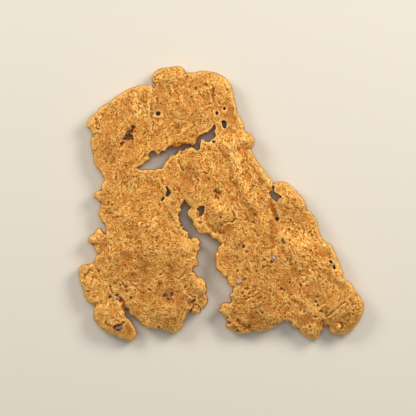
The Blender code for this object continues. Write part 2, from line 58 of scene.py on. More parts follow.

# %% [markdown]
# ## The outline
#
# The outline is what anyone knows a nugget by, so it is drawn point by point, clockwise
# from the left end of the upper lobe. A place is (across, down) in fifths of a millimetre, from a
# corner above and left of the nugget. A fifth of a millimetre is about the size of the finest notch
# on the edge. A smooth curve is run through the points later, so the points only have to catch the
# turns.

# %% The outer edge
TOP_LEFT_LOBE = [
    (85.9, 125.3), (87.2, 121.5), (89.2, 118.2), (92.6, 115), (96.2, 112.3), (97.6, 110),
    (100, 107.1), (104.2, 104.7), (108.5, 102.2), (111.8, 100.2), (113.2, 98.2), (117, 95.2),
    (121.5, 92.8), (126, 90.2), (130, 88), (135.2, 86.5), (138, 85), (142, 84.5), (147.9, 84.6),
    (150.3, 84.2), (152.4, 84.9), (153.9, 87.2), (154.9, 85), (153.4, 83.2), (151.8, 81.5),
    (151, 79.8),
]
TOP_KNOB = [
    (151.4, 77.2), (152.6, 74.5), (155.2, 71.3), (158, 69.2), (161, 68), (165.3, 67.5),
    (170, 66.8), (174.5, 66.1), (179, 65.9), (182.2, 67), (184.5, 69.2), (185.3, 72.6),
    (186.8, 72.9), (188.8, 72),
]
UPPER_RIGHT_EDGE = [
    (194.2, 72.4), (197.5, 71.3), (201, 70.4), (205, 70.4), (210.2, 71.3), (215.5, 72.3),
    (220, 74.4), (223.9, 76.5), (227.6, 79.8), (230.5, 83.9), (232.6, 88.9), (233.9, 94.2),
    (234.6, 99.2), (235.9, 103.5), (236.8, 107.4), (237.2, 111.2), (239.6, 115.4),
    (241.8, 120.2), (243.9, 124), (245, 126.8), (243.9, 128.7), (245.2, 130.7), (247.2, 132.1),
    (250.2, 133), (252.4, 135.6), (254.2, 138.8), (254.8, 141.8), (254.2, 144.9),
    (252.4, 147.4), (251.2, 149.1), (252.2, 151.5), (253.8, 153.8), (255.1, 156.2),
    (256.2, 159.6), (258.4, 162.3), (261, 165.9), (263.5, 168.8), (265.6, 172.2),
    (268.2, 175.9), (270.8, 179.3), (272.6, 182.1), (273.4, 183.3), (274.8, 182.4),
]
RIGHT_LOBE_EDGE = [
    (278.2, 181.4), (282.6, 181.6), (286.4, 182.4), (289.6, 184.2), (292.2, 186.8),
    (295.3, 189.6), (297.9, 192.8), (300.2, 195.6), (303.2, 198.4), (305.1, 201.7),
    (306.4, 205.4), (307, 209.9), (309, 210.5), (311.2, 212.1), (313.3, 214.8), (315.4, 218),
    (317.1, 221.2), (318, 224.4), (318.8, 228.2), (320.1, 233.4), (322, 237.2), (325, 241),
    (327, 242.8), (330.2, 243.9), (332.5, 246.3), (334.6, 250.2), (336.7, 254.9), (338.7, 260),
    (340.4, 264.4), (341.9, 269), (343.4, 272.4), (343.7, 274.8), (343, 276.8),
]
RIGHT_FOOT_EDGE = [
    (347, 280.2), (350.2, 282.5), (352.8, 285.4), (355.2, 289.4), (357.8, 293.6),
    (360.8, 297.2), (363.1, 301), (364.4, 305.4), (364.5, 308.9), (363.5, 313), (361.6, 316.8),
    (360, 320.8), (357.9, 323.9), (355.3, 327.1), (352.6, 330.3), (349.8, 333), (346.6, 334.3),
    (342, 334.8), (337.4, 334.7), (333.7, 334.2), (331, 332.6), (328.9, 329.2), (327.9, 326.3),
    (323.8, 325.5), (323.2, 327), (324.2, 328.8), (322.2, 330.8), (321.1, 332.2),
    (320.4, 336.8), (317.9, 338.4), (314.7, 339.3), (311, 339.2), (307.8, 338.2),
    (304.6, 336.2), (301.2, 333.4), (299.4, 330.8), (298, 328.4), (294.6, 327.3), (291.5, 325),
    (290.5, 322),
]
RIGHT_LEG_LOWER_EDGE = [
    (287.4, 321.6), (284.2, 321), (282, 322.2), (277.9, 324.8), (273.7, 327.4), (269.5, 329.5),
    (265.3, 331.1), (261, 332.2), (256.8, 332.1), (254.6, 331.2), (252.9, 330.6),
    (250.6, 332.6), (246.8, 333.8), (241.6, 334.1), (237.8, 333.3), (234.6, 331.7), (230, 330),
    (226.5, 328), (225, 325.4), (225.8, 323.8), (227.1, 322.6),
]
NOTCH_RIGHT_SIDE = [
    (226.2, 320.4), (225, 318.1), (223.2, 315.3), (220.4, 312.6), (218.2, 311.6), (218.5, 310),
    (220, 308.8), (220.1, 306), (221.8, 303.8), (224.8, 302.3), (230.4, 302.5), (230.8, 300.2),
    (230, 297.4), (229.1, 295), (230.2, 293.3), (232.3, 291.9), (232, 289.6), (233.5, 287.5),
    (231.6, 286.8), (229.5, 285.9), (228.3, 283.2), (227.1, 280.2), (226.4, 278), (223, 277.1),
    (221.2, 275.2), (220.8, 272.5), (218.8, 271.7), (216.8, 269.8), (215.3, 267.4),
    (215.5, 264.4), (215.2, 260.5), (214.9, 257.8), (214.2, 255.4), (215.2, 253), (217.2, 251),
    (217.4, 248.3), (218.7, 246.1), (220.7, 244.3), (220.1, 243.2), (218, 241.8), (216.8, 240),
    (214, 239.4), (211.6, 238.3), (209.9, 235.9), (207.9, 234.3), (204.4, 234.6),
    (199.8, 234.2), (197.5, 232.8), (196, 230.2), (193.9, 227.1), (192.4, 224.2),
    (192.4, 221.6), (190.3, 219.2), (187.7, 217), (186.8, 213.8), (187.1, 210.9),
    (188.3, 209.4), (190, 207.5), (187.9, 205.5), (185.9, 202.9), (184.8, 200.8),
]
NOTCH_LEFT_SIDE = [
    (183.6, 203), (181.8, 205.2), (181.1, 207.6), (182.1, 209.9), (181.4, 212), (179.6, 213.6),
    (178.9, 215.4), (180, 217.2), (180, 220.8), (181.4, 223.6), (180.9, 225.9), (182.8, 225.5),
    (183.9, 226.8), (183.2, 228.6), (185.6, 230), (188.2, 231.3), (188.9, 232.8),
    (188.7, 235.6), (189.7, 237.5), (191.4, 238.4), (192.6, 236.7), (195.5, 237.1),
    (197.9, 237.5), (199, 239.8), (200.8, 241.9), (200.2, 244), (199.8, 245.6), (200.8, 247.6),
    (200.4, 250.2), (198.2, 251.4), (197.6, 254.4), (196.6, 257.6), (197.7, 260.2),
    (198.7, 262.9), (198.3, 265.6), (195.4, 266.6), (193.7, 267.7), (193.3, 271.3),
    (195.8, 272.2), (196.7, 274.6), (197.6, 276.7), (200.6, 277.1), (203.2, 278.4),
    (205.3, 280.9), (206.6, 284.4), (206.2, 287.4), (207.4, 289.6), (206.5, 292),
    (206.4, 294.2), (207.4, 297.2), (208.4, 300.2), (207.9, 302.8), (206.6, 304.9),
    (205, 307.2), (203.8, 309.3), (200.6, 309.8), (201.3, 311.6), (200.3, 313.4),
    (198.2, 314.2), (195.6, 313.6), (192.6, 313.7), (190.5, 312), (189.5, 310.5),
    (187.9, 312.4), (186.6, 315), (185.3, 318.7), (183.8, 322), (183.8, 325), (182.6, 328),
    (180, 330.6), (176.8, 332.5), (173.6, 333.1), (170, 332.4), (166.8, 331.6), (163.6, 330.8),
    (161.2, 329),
]
LOWER_LEFT_EDGE = [
    (154.7, 328.8), (147.9, 327.9), (143.8, 326.6), (141, 324.2), (138.4, 321.2),
    (135.6, 318.2), (133.4, 316.5), (131.4, 316.2), (129.6, 314.4), (128.6, 311.8),
    (128.6, 309.2), (126.8, 308.6), (125, 308.9),
]
LEFT_FOOT_EDGE = [
    (125.6, 311), (125.6, 314.2), (126.8, 317), (128.4, 318.4), (130.6, 320.6), (133.2, 324.7),
    (135.6, 329.1), (136.9, 333.3), (137, 336.2), (135.2, 338.6), (132.8, 340.9),
    (129.8, 341.6), (126.8, 340.8), (123.6, 339.5), (119.8, 338.2), (116.6, 336.2),
    (113, 334.9), (108.9, 333.9), (104.6, 332), (101.4, 329.4), (98.3, 326), (95.8, 322.7),
    (93.7, 319.9), (92.9, 316.2), (93.3, 312.4), (93.9, 308.8), (95, 306.3), (94.4, 305),
]
LEFT_BLOCK_EDGE = [
    (91, 304.5), (87.9, 302.6), (85.4, 299), (83.8, 294.8), (83.2, 291.2), (82, 287.8),
    (80.1, 282.8), (78.7, 276.7), (78, 272), (78.4, 268.4), (80, 266.1), (82.6, 264.6),
    (85.7, 263.9), (88, 264.7), (90.8, 263), (93.6, 262.2), (94.5, 259.4), (95.3, 256.9),
    (98.1, 254),
]
LEFT_EDGE = [
    (96.6, 253.1), (95.2, 250.8), (93.9, 247.8), (93.1, 245.4), (90.4, 244.4), (88.7, 242.9),
    (87.9, 240.4), (88.7, 237.4), (90.6, 235.2), (93.6, 233.5), (95.8, 230), (97.6, 227.9),
    (100.4, 227.6), (101.3, 228.8), (102.6, 231), (105, 233.7), (105.7, 232.4), (105.5, 229.4),
    (105, 225.8), (103.8, 223.9), (101.6, 222.6), (100.4, 220.2), (99.4, 218.1), (97.9, 215.7),
    (97.9, 213.2), (98.9, 210), (100.2, 206.8), (101, 204), (99.8, 202.4), (97.7, 201.2),
    (96.6, 199.5), (93.9, 198.4), (93.3, 195.7), (94.3, 193.3), (96.6, 191.3), (98.9, 189.9),
    (101.2, 189.8), (100.8, 186.8), (101.6, 183.7), (103.2, 181.8), (104.1, 179.9),
    (103.6, 178.3), (101.8, 176.2), (101, 173.6), (99.6, 171.6), (97, 168.6), (95, 165.3),
    (93.7, 161.6), (93, 157.4), (93.2, 154.6), (91.8, 152), (91, 148.2), (90.4, 144),
    (89.9, 140.4), (90.4, 138.8), (91.9, 137.7), (92.1, 135.6), (90.8, 132.6), (90, 130),
    (89.4, 128.8), (87.2, 127.9),
]

# %% [markdown]
# ## The holes
#
# The long slot is what was left when the plate folded and closed up again. The smaller holes are
# where it was hammered through. Five of them are so small that an ellipse does.

# %% The slot and the holes
SLOT = [
    (137.1, 167.6), (140.2, 166.8), (143.5, 165.1), (145.4, 162.4), (148, 161), (150.2, 159.8),
    (150.2, 158.4), (149, 156.8), (149.1, 154.6), (150.4, 152.5), (152.6, 151.3),
    (154.8, 152.1), (156.3, 153.9), (158.4, 155.4), (160, 154.5), (161.1, 152.4),
    (163.2, 151.9), (165.8, 152.1), (166.3, 150.3), (168.4, 147.6), (171.1, 146.3),
    (173.2, 146.8), (175, 148.2), (177.4, 147.1), (180, 146.6), (182.1, 145), (185.3, 144.7),
    (190, 144.9), (192.1, 146.1), (193.7, 145.3), (196.2, 143.9), (197.2, 141),
    (198.6, 138.2), (200.3, 135.8), (203.7, 134.7), (204.7, 133.4), (207.9, 133.2),
    (209.5, 131.1), (212.1, 128.7), (213.4, 126.6), (214.3, 125), (215, 127.1), (215, 129.2),
    (213.9, 130.8), (214.5, 133.4), (215, 135.3), (213.7, 137.9), (211.1, 139.7),
    (209.5, 141.3), (207.4, 141.4), (205.3, 140.8), (203.9, 139.2), (202.6, 138.6),
    (200.5, 139.2), (200.1, 140.9), (199.9, 143.5), (199.5, 146), (199.5, 148.2),
    (198.4, 149.7), (196.8, 150.2), (195.3, 148.7), (193.2, 147.4), (190.5, 147.1),
    (187.9, 148.2), (185.8, 147.6), (184.5, 148.9), (183.7, 150), (180.5, 150), (178.2, 150.3),
    (177.6, 152.4), (176.3, 153.7), (175.3, 155.1), (172.6, 154.7), (170, 156.1),
    (168.7, 157.6), (167.9, 159.7), (165.3, 161.3), (164.2, 163.4), (163.2, 166.6),
    (161.1, 168.4), (157.4, 168.4), (155.3, 169.7), (151.6, 168.9), (147.4, 169.7),
    (145.3, 168.7), (143.2, 169.5), (138.7, 168.7),
]
HOLE_BY_RIGHT_LOBE = [
    (273.4, 186.2), (273.9, 188.4), (273.3, 191.2), (274.2, 193.1), (277.3, 194.4),
    (278.4, 195.7), (280.3, 196.1), (281.1, 197.7), (278.5, 197.7), (277.8, 200.2),
    (276.2, 201.5), (274.8, 200.6), (272.1, 197.8), (270.8, 195.4), (269, 192.6),
    (270.9, 192.1), (272.2, 189.5), (272.7, 186.3),
]
HOLE_ABOVE_NOTCH = [
    (166.3, 186.8), (167.6, 187.6), (168.9, 190), (170.5, 191.3), (170.4, 193.9), (169.5, 195),
    (167.4, 196.6), (166.1, 195.8), (166.3, 192.9), (167.4, 190.8), (166.6, 188.2),
]
SLANTED_HOLE = [
    (164.2, 197.1), (164.5, 197.9), (162.6, 200.3), (161.6, 200.8), (161.3, 200),
    (163.2, 197.4),
]
HOLE_UNDER_SHOULDER = [
    (222.1, 121.8), (223.9, 121.1), (225.3, 121.8), (226.2, 123.4), (225.9, 126.3),
    (225.8, 127.6), (224.7, 128.2), (223.2, 127.1), (222.6, 124.7),
]
HOLE_BESIDE_DOME = [
    (200.3, 206.8), (203.9, 206.8), (203.7, 210.8), (202.9, 213.4), (200.5, 215.8),
    (199.7, 214.5), (199.5, 211.3), (197.6, 209.7), (197.1, 209.2), (198.9, 207.9),
]
EDGE_SLIT_UPPER = [(329.7, 260.3), (330.8, 261.1), (332.4, 263.4), (331.3, 263.4), (329.7, 261.8)]
EDGE_SLIT_LOWER = [(333.4, 265.3), (334.7, 266.3), (335, 268.9), (333.9, 268.9), (333, 266.8)]
# Round holes: (across, down, width, height, turn in degrees)
ROUND_HOLES = [
    (158.2, 113.8, 3.7, 3.3, 0),
    (216.8, 113.5, 2.1, 3, 0),
    (224.4, 108.8, 1.8, 1.8, 0),
    (213.7, 142, 2.8, 1.7, -25),
    (277.2, 219, 3.1, 3.1, 0),
]


def ellipse(across, down, width, height, turn):
    """A closed loop of points round a small hole."""
    loop = []
    for i in range(12):
        angle = math.tau * i / 12
        x, y = width / 2 * math.cos(angle), height / 2 * math.sin(angle)
        cos, sin = math.cos(math.radians(turn)), math.sin(math.radians(turn))
        loop.append((across + x * cos + y * sin, down - x * sin + y * cos))
    return loop


print(len(SLOT), "points round the slot, and", len(ROUND_HOLES), "round holes")

# %% [markdown]
# ## From drawn points to smooth loops
#
# A Catmull-Rom curve passes through every point it is given, which suits an outline that is drawn
# point by point. A Bezier or B-spline curve would need handles, or would cut the corners. Each loop
# also has a rim radius: the outer edge is worn round, while the small holes have sharper rims.

# %% Smooth loops
FIFTH = 0.2  # one step of the drawn outline, in millimetres
MIDDLE = (221.2, 203.75)  # the middle of the outline, which is over the origin
MM = 0.001
OUTLINE_STEP = 0.1  # between the points of the smooth curve, in millimetres
OUTER_RIM, SLOT_RIM, HOLE_RIM = 0.27, 0.18, 0.14  # millimetres


def placed(places):
    """Drawn places as X and Y in millimetres from the origin."""
    return (np.asarray(places, float)[..., :2] - MIDDLE) * (FIFTH, -FIFTH)


def smooth_loop(points):
    """The points, in millimetres, of a closed Catmull-Rom curve through the drawn points."""
    corners = placed(points)
    made = []
    for i, start in enumerate(corners):
        before = corners[i - 1]
        end, after = corners[(i + 1) % len(corners)], corners[(i + 2) % len(corners)]
        steps = max(1, round(np.linalg.norm(end - start) / OUTLINE_STEP))
        t = np.arange(steps)[:, None] / steps
        made.append(
            0.5 * (2 * start + (end - before) * t
                   + (2 * before - 5 * start + 4 * end - after) * t ** 2
                   + (3 * start - before - 3 * end + after) * t ** 3)
        )
    return np.concatenate(made)


outer_edge = (
    TOP_LEFT_LOBE + TOP_KNOB + UPPER_RIGHT_EDGE + RIGHT_LOBE_EDGE + RIGHT_FOOT_EDGE
    + RIGHT_LEG_LOWER_EDGE + NOTCH_RIGHT_SIDE + NOTCH_LEFT_SIDE + LOWER_LEFT_EDGE
    + LEFT_FOOT_EDGE + LEFT_BLOCK_EDGE + LEFT_EDGE
)
small_holes = [
    HOLE_BY_RIGHT_LOBE, HOLE_ABOVE_NOTCH, SLANTED_HOLE, HOLE_UNDER_SHOULDER, HOLE_BESIDE_DOME,
    EDGE_SLIT_UPPER, EDGE_SLIT_LOWER,
] + [ellipse(*hole) for hole in ROUND_HOLES]
# (points, rim radius, 1 for the outer edge or -1 for a hole)
loops = [(smooth_loop(outer_edge), OUTER_RIM, 1), (smooth_loop(SLOT), SLOT_RIM, -1)]
loops += [(smooth_loop(hole), HOLE_RIM, -1) for hole in small_holes]
print(len(outer_edge), "drawn points round the edge,", len(loops) - 1, "holes")

# %% [markdown]
# ## Selecting and applying, the way one does by hand
#
# Most of Blender's operators act on whatever is selected, so a helper deselects everything else
# first. A second helper adds a modifier, sets it and applies it, so that what follows works on real
# faces.

# %% Two helpers


def select_only(item):
    """Leaves one thing selected and active, in object mode."""
    if bpy.context.mode != "OBJECT":
        bpy.ops.object.mode_set(mode="OBJECT")
    bpy.ops.object.select_all(action="DESELECT")
    item.select_set(True)
    bpy.context.view_layer.objects.active = item


def finish_with(item, kind, **settings):
    """Adds a modifier, sets it and applies it."""
    select_only(item)
    modifier = item.modifiers.new(kind.lower(), kind)
    for name, value in settings.items():
        setattr(modifier, name, value)
    bpy.ops.object.modifier_apply(modifier=modifier.name)


# %% [markdown]
# ## The flat plate
#
# A closed curve with holes, filled on both sides and given a little thickness, is the quickest way
# from an outline to a solid plate. Its faces are long slivers, which can't carry relief, so the
# Remesh modifier then rebuilds it as even little squares.

# %% A curve, filled and remeshed
FLAT_HALF = 0.25  # half the thickness of the flat plate, in millimetres
VOXEL = 0.115  # millimetres

drawing = bpy.data.curves.new("outline", "CURVE")
drawing.dimensions = "2D"
drawing.fill_mode = "BOTH"
drawing.extrude = FLAT_HALF * MM
for points, _, _ in loops:
    spline = drawing.splines.new("POLY")
    spline.points.add(len(points) - 1)
    spline.use_cyclic_u = True
    height_and_weight = np.tile([0, 1], (len(points), 1))
    spline.points.foreach_set("co", np.hstack([points * MM, height_and_weight]).ravel())
nugget = bpy.data.objects.new("nugget_body", drawing)
bpy.context.scene.collection.objects.link(nugget)
select_only(nugget)
bpy.ops.object.convert(target="MESH")
nugget = bpy.context.view_layer.objects.active
bpy.ops.object.mode_set(mode="EDIT")
bpy.ops.mesh.select_all(action="SELECT")
bpy.ops.mesh.remove_doubles(threshold=1e-6)
bpy.ops.mesh.normals_make_consistent(inside=False)
bpy.ops.object.mode_set(mode="OBJECT")
finish_with(nugget, "REMESH", mode="VOXEL", voxel_size=VOXEL * MM)
print("flat plate:", len(nugget.data.vertices), "points")

# %% [markdown]
# ## Reading and moving points
#
# A nugget has no straight line to extrude or bevel, so its relief is sculpted in code. Every point
# is moved by sums of simple shapes: a bump, a line along a path, and a ledge. NumPy moves all of
# the points at once.

# %% Points in and out of a mesh


def read_points(item):
    """The mesh's points in millimetres."""
    flat = np.empty(len(item.data.vertices) * 3)
    item.data.vertices.foreach_get("co", flat)
    return flat.reshape(-1, 3) / MM


def write_points(item, points):
    """Moves the mesh's points, given in millimetres."""
    item.data.vertices.foreach_set("co", (points * MM).ravel())
    item.data.update()


def read_normals(item):
    """Which way the surface faces at each point."""
    flat = np.empty(len(item.data.vertices) * 3)
    item.data.vertex_normals.foreach_get("vector", flat)
    return flat.reshape(-1, 3)


# %% The simple shapes that relief is made of
def falloff(distance, radius):
    """1 in the middle, and down smoothly to 0 at the radius and past it."""
    return (1 - np.clip(distance / radius, 0, 1) ** 2) ** 2


def bump(xy, across, down, radius, height):
    """A round lump, or a hollow where the height is below zero. The radius is in fifths too."""
    return height * falloff(np.linalg.norm(xy - placed((across, down)), axis=1), radius * FIFTH)


def to_path(xy, path):
    """How far each point is from a path, and which side of it: 1 on its left, -1 on its right."""
    corners = placed(path)
    nearest = np.full(len(xy), np.inf)
    side = np.zeros(len(xy))
    for start, end in zip(corners[:-1], corners[1:]):
        along = end - start
        t = np.clip((xy - start) @ along / (along @ along), 0, 1)
        away = xy - start - t[:, None] * along
        distance = np.linalg.norm(away, axis=1)
        across = along[0] * away[:, 1] - along[1] * away[:, 0]
        closer = distance < nearest
        side[closer] = np.sign(across[closer])
        nearest[closer] = distance[closer]
    return nearest, side


def line(xy, width, height, path):
    """A ridge along a path, or a groove where the height is below zero."""
    return height * falloff(to_path(xy, path)[0], width * FIFTH)


LEDGE_EDGE = 0.3  # how wide the step itself is, in millimetres


def ledge(xy, width, height, path):
    """A step up onto the left side of the path, which dies away on both sides."""
    distance, side = to_path(xy, path)
    step = height / 2 * side * np.minimum(distance / LEDGE_EDGE, 1)
    return step * falloff(distance, width * FIFTH)


# %% [markdown]
# ## The relief of the side that faces up
#
# These are the large forms that a hand would feel: the dome above the notch, the knobs and feet,
# the diagonal ridges down the right leg, the deep fold beside the right lobe and the grooves round
# the left foot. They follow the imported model, so the dressed piece and the solid agree.

# %% Lumps and hollows: (across, down, radius, height in millimetres)
LUMPS = [
    (150, 352, 52, -1.0),  # the face falls away towards the ends of the legs
    (245, 350, 45, -0.8),
    (345, 362, 62, -1.0),
    (275, 348, 34, -0.5),
    (165, 45, 35, -0.5),
    (232, 50, 38, -0.5),
    (222, 212, 18, 0.42),  # the dome above the notch
    (217, 208, 8, 0.15),
    (168, 76, 16, 0.4),  # the top knob
    (221, 88, 21, 0.22),  # the upper right pillow
    (291, 200, 25, 0.35),  # the right lobe
    (249, 140, 10, 0.3),  # the small knob on the right edge
    (231, 145, 16, 0.25),
    (183, 247, 13, 0.3),  # the bulge over the left leg's ledge
    (109, 320, 21, 0.4),  # the left foot
    (89, 283, 14, 0.3),  # the left block
    (201, 288, 11, 0.35),  # the knob inside the left leg
    (158, 316, 22, 0.35),  # the lower left lobe
    (102, 303, 10, 0.2),
    (303, 247, 17, 0.25),
    (343, 308, 25, 0.4),  # the right foot
    (312, 330, 12, 0.35),  # the small foot
    (338.7, 326.8, 4.5, 0.3),
    (123, 127, 25, 0.15),
    (94, 239, 8, 0.3),
    (242, 325, 12, 0.2),
    (188, 177, 14, -0.2),
    (217, 193, 7, -0.2),
    (145, 268, 16, -0.15),
    (168, 297, 9, -0.15),
    (252, 213, 11, -0.15),
    (281, 286, 16, -0.12),
    (316, 299, 9, -0.1),
    (240, 247, 7, -0.15),
    (200, 214, 6, -0.3),
    (192, 303, 6, -0.25),
    (127, 257, 8, -0.12),
]

# %% Ridges and grooves: (width, height, path)
RIDGES = [
    (10, 0.3, [(236, 158), (240, 176), (246, 190), (258, 206)]),
    (6, 0.2, [(262, 172), (268, 182)]),
    (11, 0.28, [(283, 236), (292, 247), (300, 262)]),
    (10, 0.15, [(293, 236), (310, 252), (330, 268), (343, 280)]),
    (8, 0.15, [(298, 296), (308, 305), (318, 318)]),
    (5, 0.14, [(133, 95), (135, 106), (137, 118)]),
    (9, 0.12, [(125, 210), (138, 228), (140, 245)]),
]
GROOVES = [
    (5, 0.25, [(272, 201), (271.5, 207), (274, 213), (275.5, 217)]),
    (6, 0.15, [(273.5, 219), (272.3, 230), (273.5, 246)]),
    (4.5, 0.1, [(206, 216), (207, 224), (214, 231), (222, 233)]),
    (3.5, 0.15, [(96, 305), (103, 301), (109, 298)]),
    (3.5, 0.4, [(126, 309), (123.5, 303), (119, 299)]),
    (2.5, 0.15, [(322.6, 321), (324.5, 323), (326, 326)]),
]

# %% Ledges: (width, height, path), with the side on the left of the path standing proud
LEDGES = [
    (9, 0.07, [(196, 256.5), (188, 258), (179, 256.5)]),
    (8, 0.12, [(151, 119), (150.5, 105), (151, 91)]),
    (6, 0.12, [(154, 132), (154, 121)]),
    (7, 0.08, [(132.5, 286), (143, 290), (151, 291)]),
    (8, 0.14, [(157, 182), (163, 192), (165, 204), (172, 216)]),
]

# %% [markdown]
# ## The deeper pits
#
# Where a grain of quartz has dropped out, a pit is left, half a millimetre to a millimetre across.
# The pits are placed one by one, because they are dark and the eye goes to them.

# %% Pits: (across, down, radius, depth in millimetres)
PITS = [
    (118, 328, 4.6, 0.75), (115.3, 327.4, 2.8, 0.7), (109.9, 297, 2, 0.5), (117.2, 295.3, 1.8, 0.5),
    (121, 300.5, 1.8, 0.5), (110.3, 286.8, 1.8, 0.35), (131.1, 297.9, 2.4, 0.45),
    (120.3, 300.3, 2.2, 0.45), (143, 285.6, 1.6, 0.3), (149.5, 289.8, 1.5, 0.3),
    (141.3, 276.8, 1.5, 0.3), (106.3, 323.2, 2, 0.35), (112.9, 318.2, 1.7, 0.3),
    (88.2, 291.8, 2, 0.35), (95, 296.6, 1.8, 0.35), (84.7, 275.3, 1.7, 0.35),
    (87.1, 273.2, 1.5, 0.3), (123.2, 282.6, 1.5, 0.3), (126.3, 286.1, 2, 0.35),
    (127.1, 291.1, 1.6, 0.3), (158.4, 326.8, 1.7, 0.3), (185.5, 286.6, 1.8, 0.35),
    (190.5, 305.5, 1.4, 0.3), (191.8, 310.8, 1.8, 0.35), (164.2, 296.1, 1.8, 0.35),
    (160, 274.7, 1.5, 0.3), (177.6, 317.4, 1.5, 0.3), (168, 244.5, 2, 0.3), (153, 249.5, 1.6, 0.25),
    (138, 247.5, 1.6, 0.25), (243.1, 246.2, 1.9, 0.5), (246.6, 252.1, 2, 0.35),
    (215, 231.6, 1.8, 0.35), (221.3, 232.6, 1.6, 0.3), (264.5, 259.7, 2, 0.35),
    (271.8, 261.8, 2.2, 0.4), (283.2, 242.1, 2, 0.4), (245.5, 258.7, 1.6, 0.3),
    (236.8, 258.2, 1.6, 0.3), (237.4, 270.5, 1.8, 0.3), (258.7, 277.4, 1.6, 0.3),
    (253.9, 216.3, 1.5, 0.3), (212.6, 208.2, 1.6, 0.3), (220.8, 217.9, 1.5, 0.25),
    (232.9, 212.6, 1.6, 0.3), (232.4, 221.6, 1.7, 0.3), (225, 221.6, 1.5, 0.25),
    (221.3, 225, 1.5, 0.25), (311.8, 235.5, 1.9, 0.3), (309.7, 250, 1.6, 0.25),
    (289, 229.8, 1.6, 0.3), (303.4, 230, 1.4, 0.25), (311, 232, 1.4, 0.25),
    (295.8, 262.1, 1.7, 0.3), (301.8, 275, 1.6, 0.25), (303.3, 281.4, 1.6, 0.25),
    (307.4, 285.5, 1.6, 0.25), (306.1, 297, 1.6, 0.25), (299.7, 291.1, 1.6, 0.3),
    (316.8, 296.8, 1.6, 0.4), (315.4, 301.6, 1.7, 0.5), (317.6, 305.2, 1.7, 0.5),
    (300.8, 285, 2, 0.3), (304.5, 311.3, 1.6, 0.3), (321, 310.8, 1.9, 0.35),
    (315.3, 316.6, 1.9, 0.35), (309.9, 326.3, 2, 0.45), (244.2, 279.2, 2, 0.35),
    (247.4, 288.4, 1.9, 0.35), (242.1, 293.4, 1.6, 0.3), (249.5, 293.7, 1.6, 0.3),
    (248.4, 297.6, 1.6, 0.3), (264.5, 298.1, 1.7, 0.3), (276.1, 281.8, 1.5, 0.25),
    (281.1, 288.9, 1.9, 0.45), (283.9, 290.3, 1.5, 0.35), (273.7, 295, 1.6, 0.3),
    (262.1, 312.9, 1.9, 0.35), (234.5, 313.2, 1.7, 0.3), (227.4, 317.6, 1.7, 0.3),
    (229.7, 322.9, 2.1, 0.4), (108.4, 202.6, 1.8, 0.3), (114.6, 210.8, 1.3, 0.25),
    (237.6, 330.6, 1.8, 0.45), (221, 217.5, 1.7, 0.35), (215.7, 197, 1.4, 0.35),
    (218.3, 198.4, 1.5, 0.35), (273.4, 325, 1.5, 0.3), (276.6, 323.4, 1.4, 0.25),
    (216, 196.5, 1.6, 0.3), (218, 198.5, 1.5, 0.3), (208, 199, 1.6, 0.3), (196, 89, 2.2, 0.3),
    (206, 85, 1.6, 0.25), (191, 97.5, 1.6, 0.25), (97.5, 128.5, 1.8, 0.3), (99.5, 125, 1.6, 0.25),
    (102.5, 115, 1.6, 0.25), (116, 110, 1.6, 0.25), (183, 170, 1.8, 0.3), (132.3, 138.3, 1.5, 0.25),
    (122, 144, 2.2, 0.35),
]
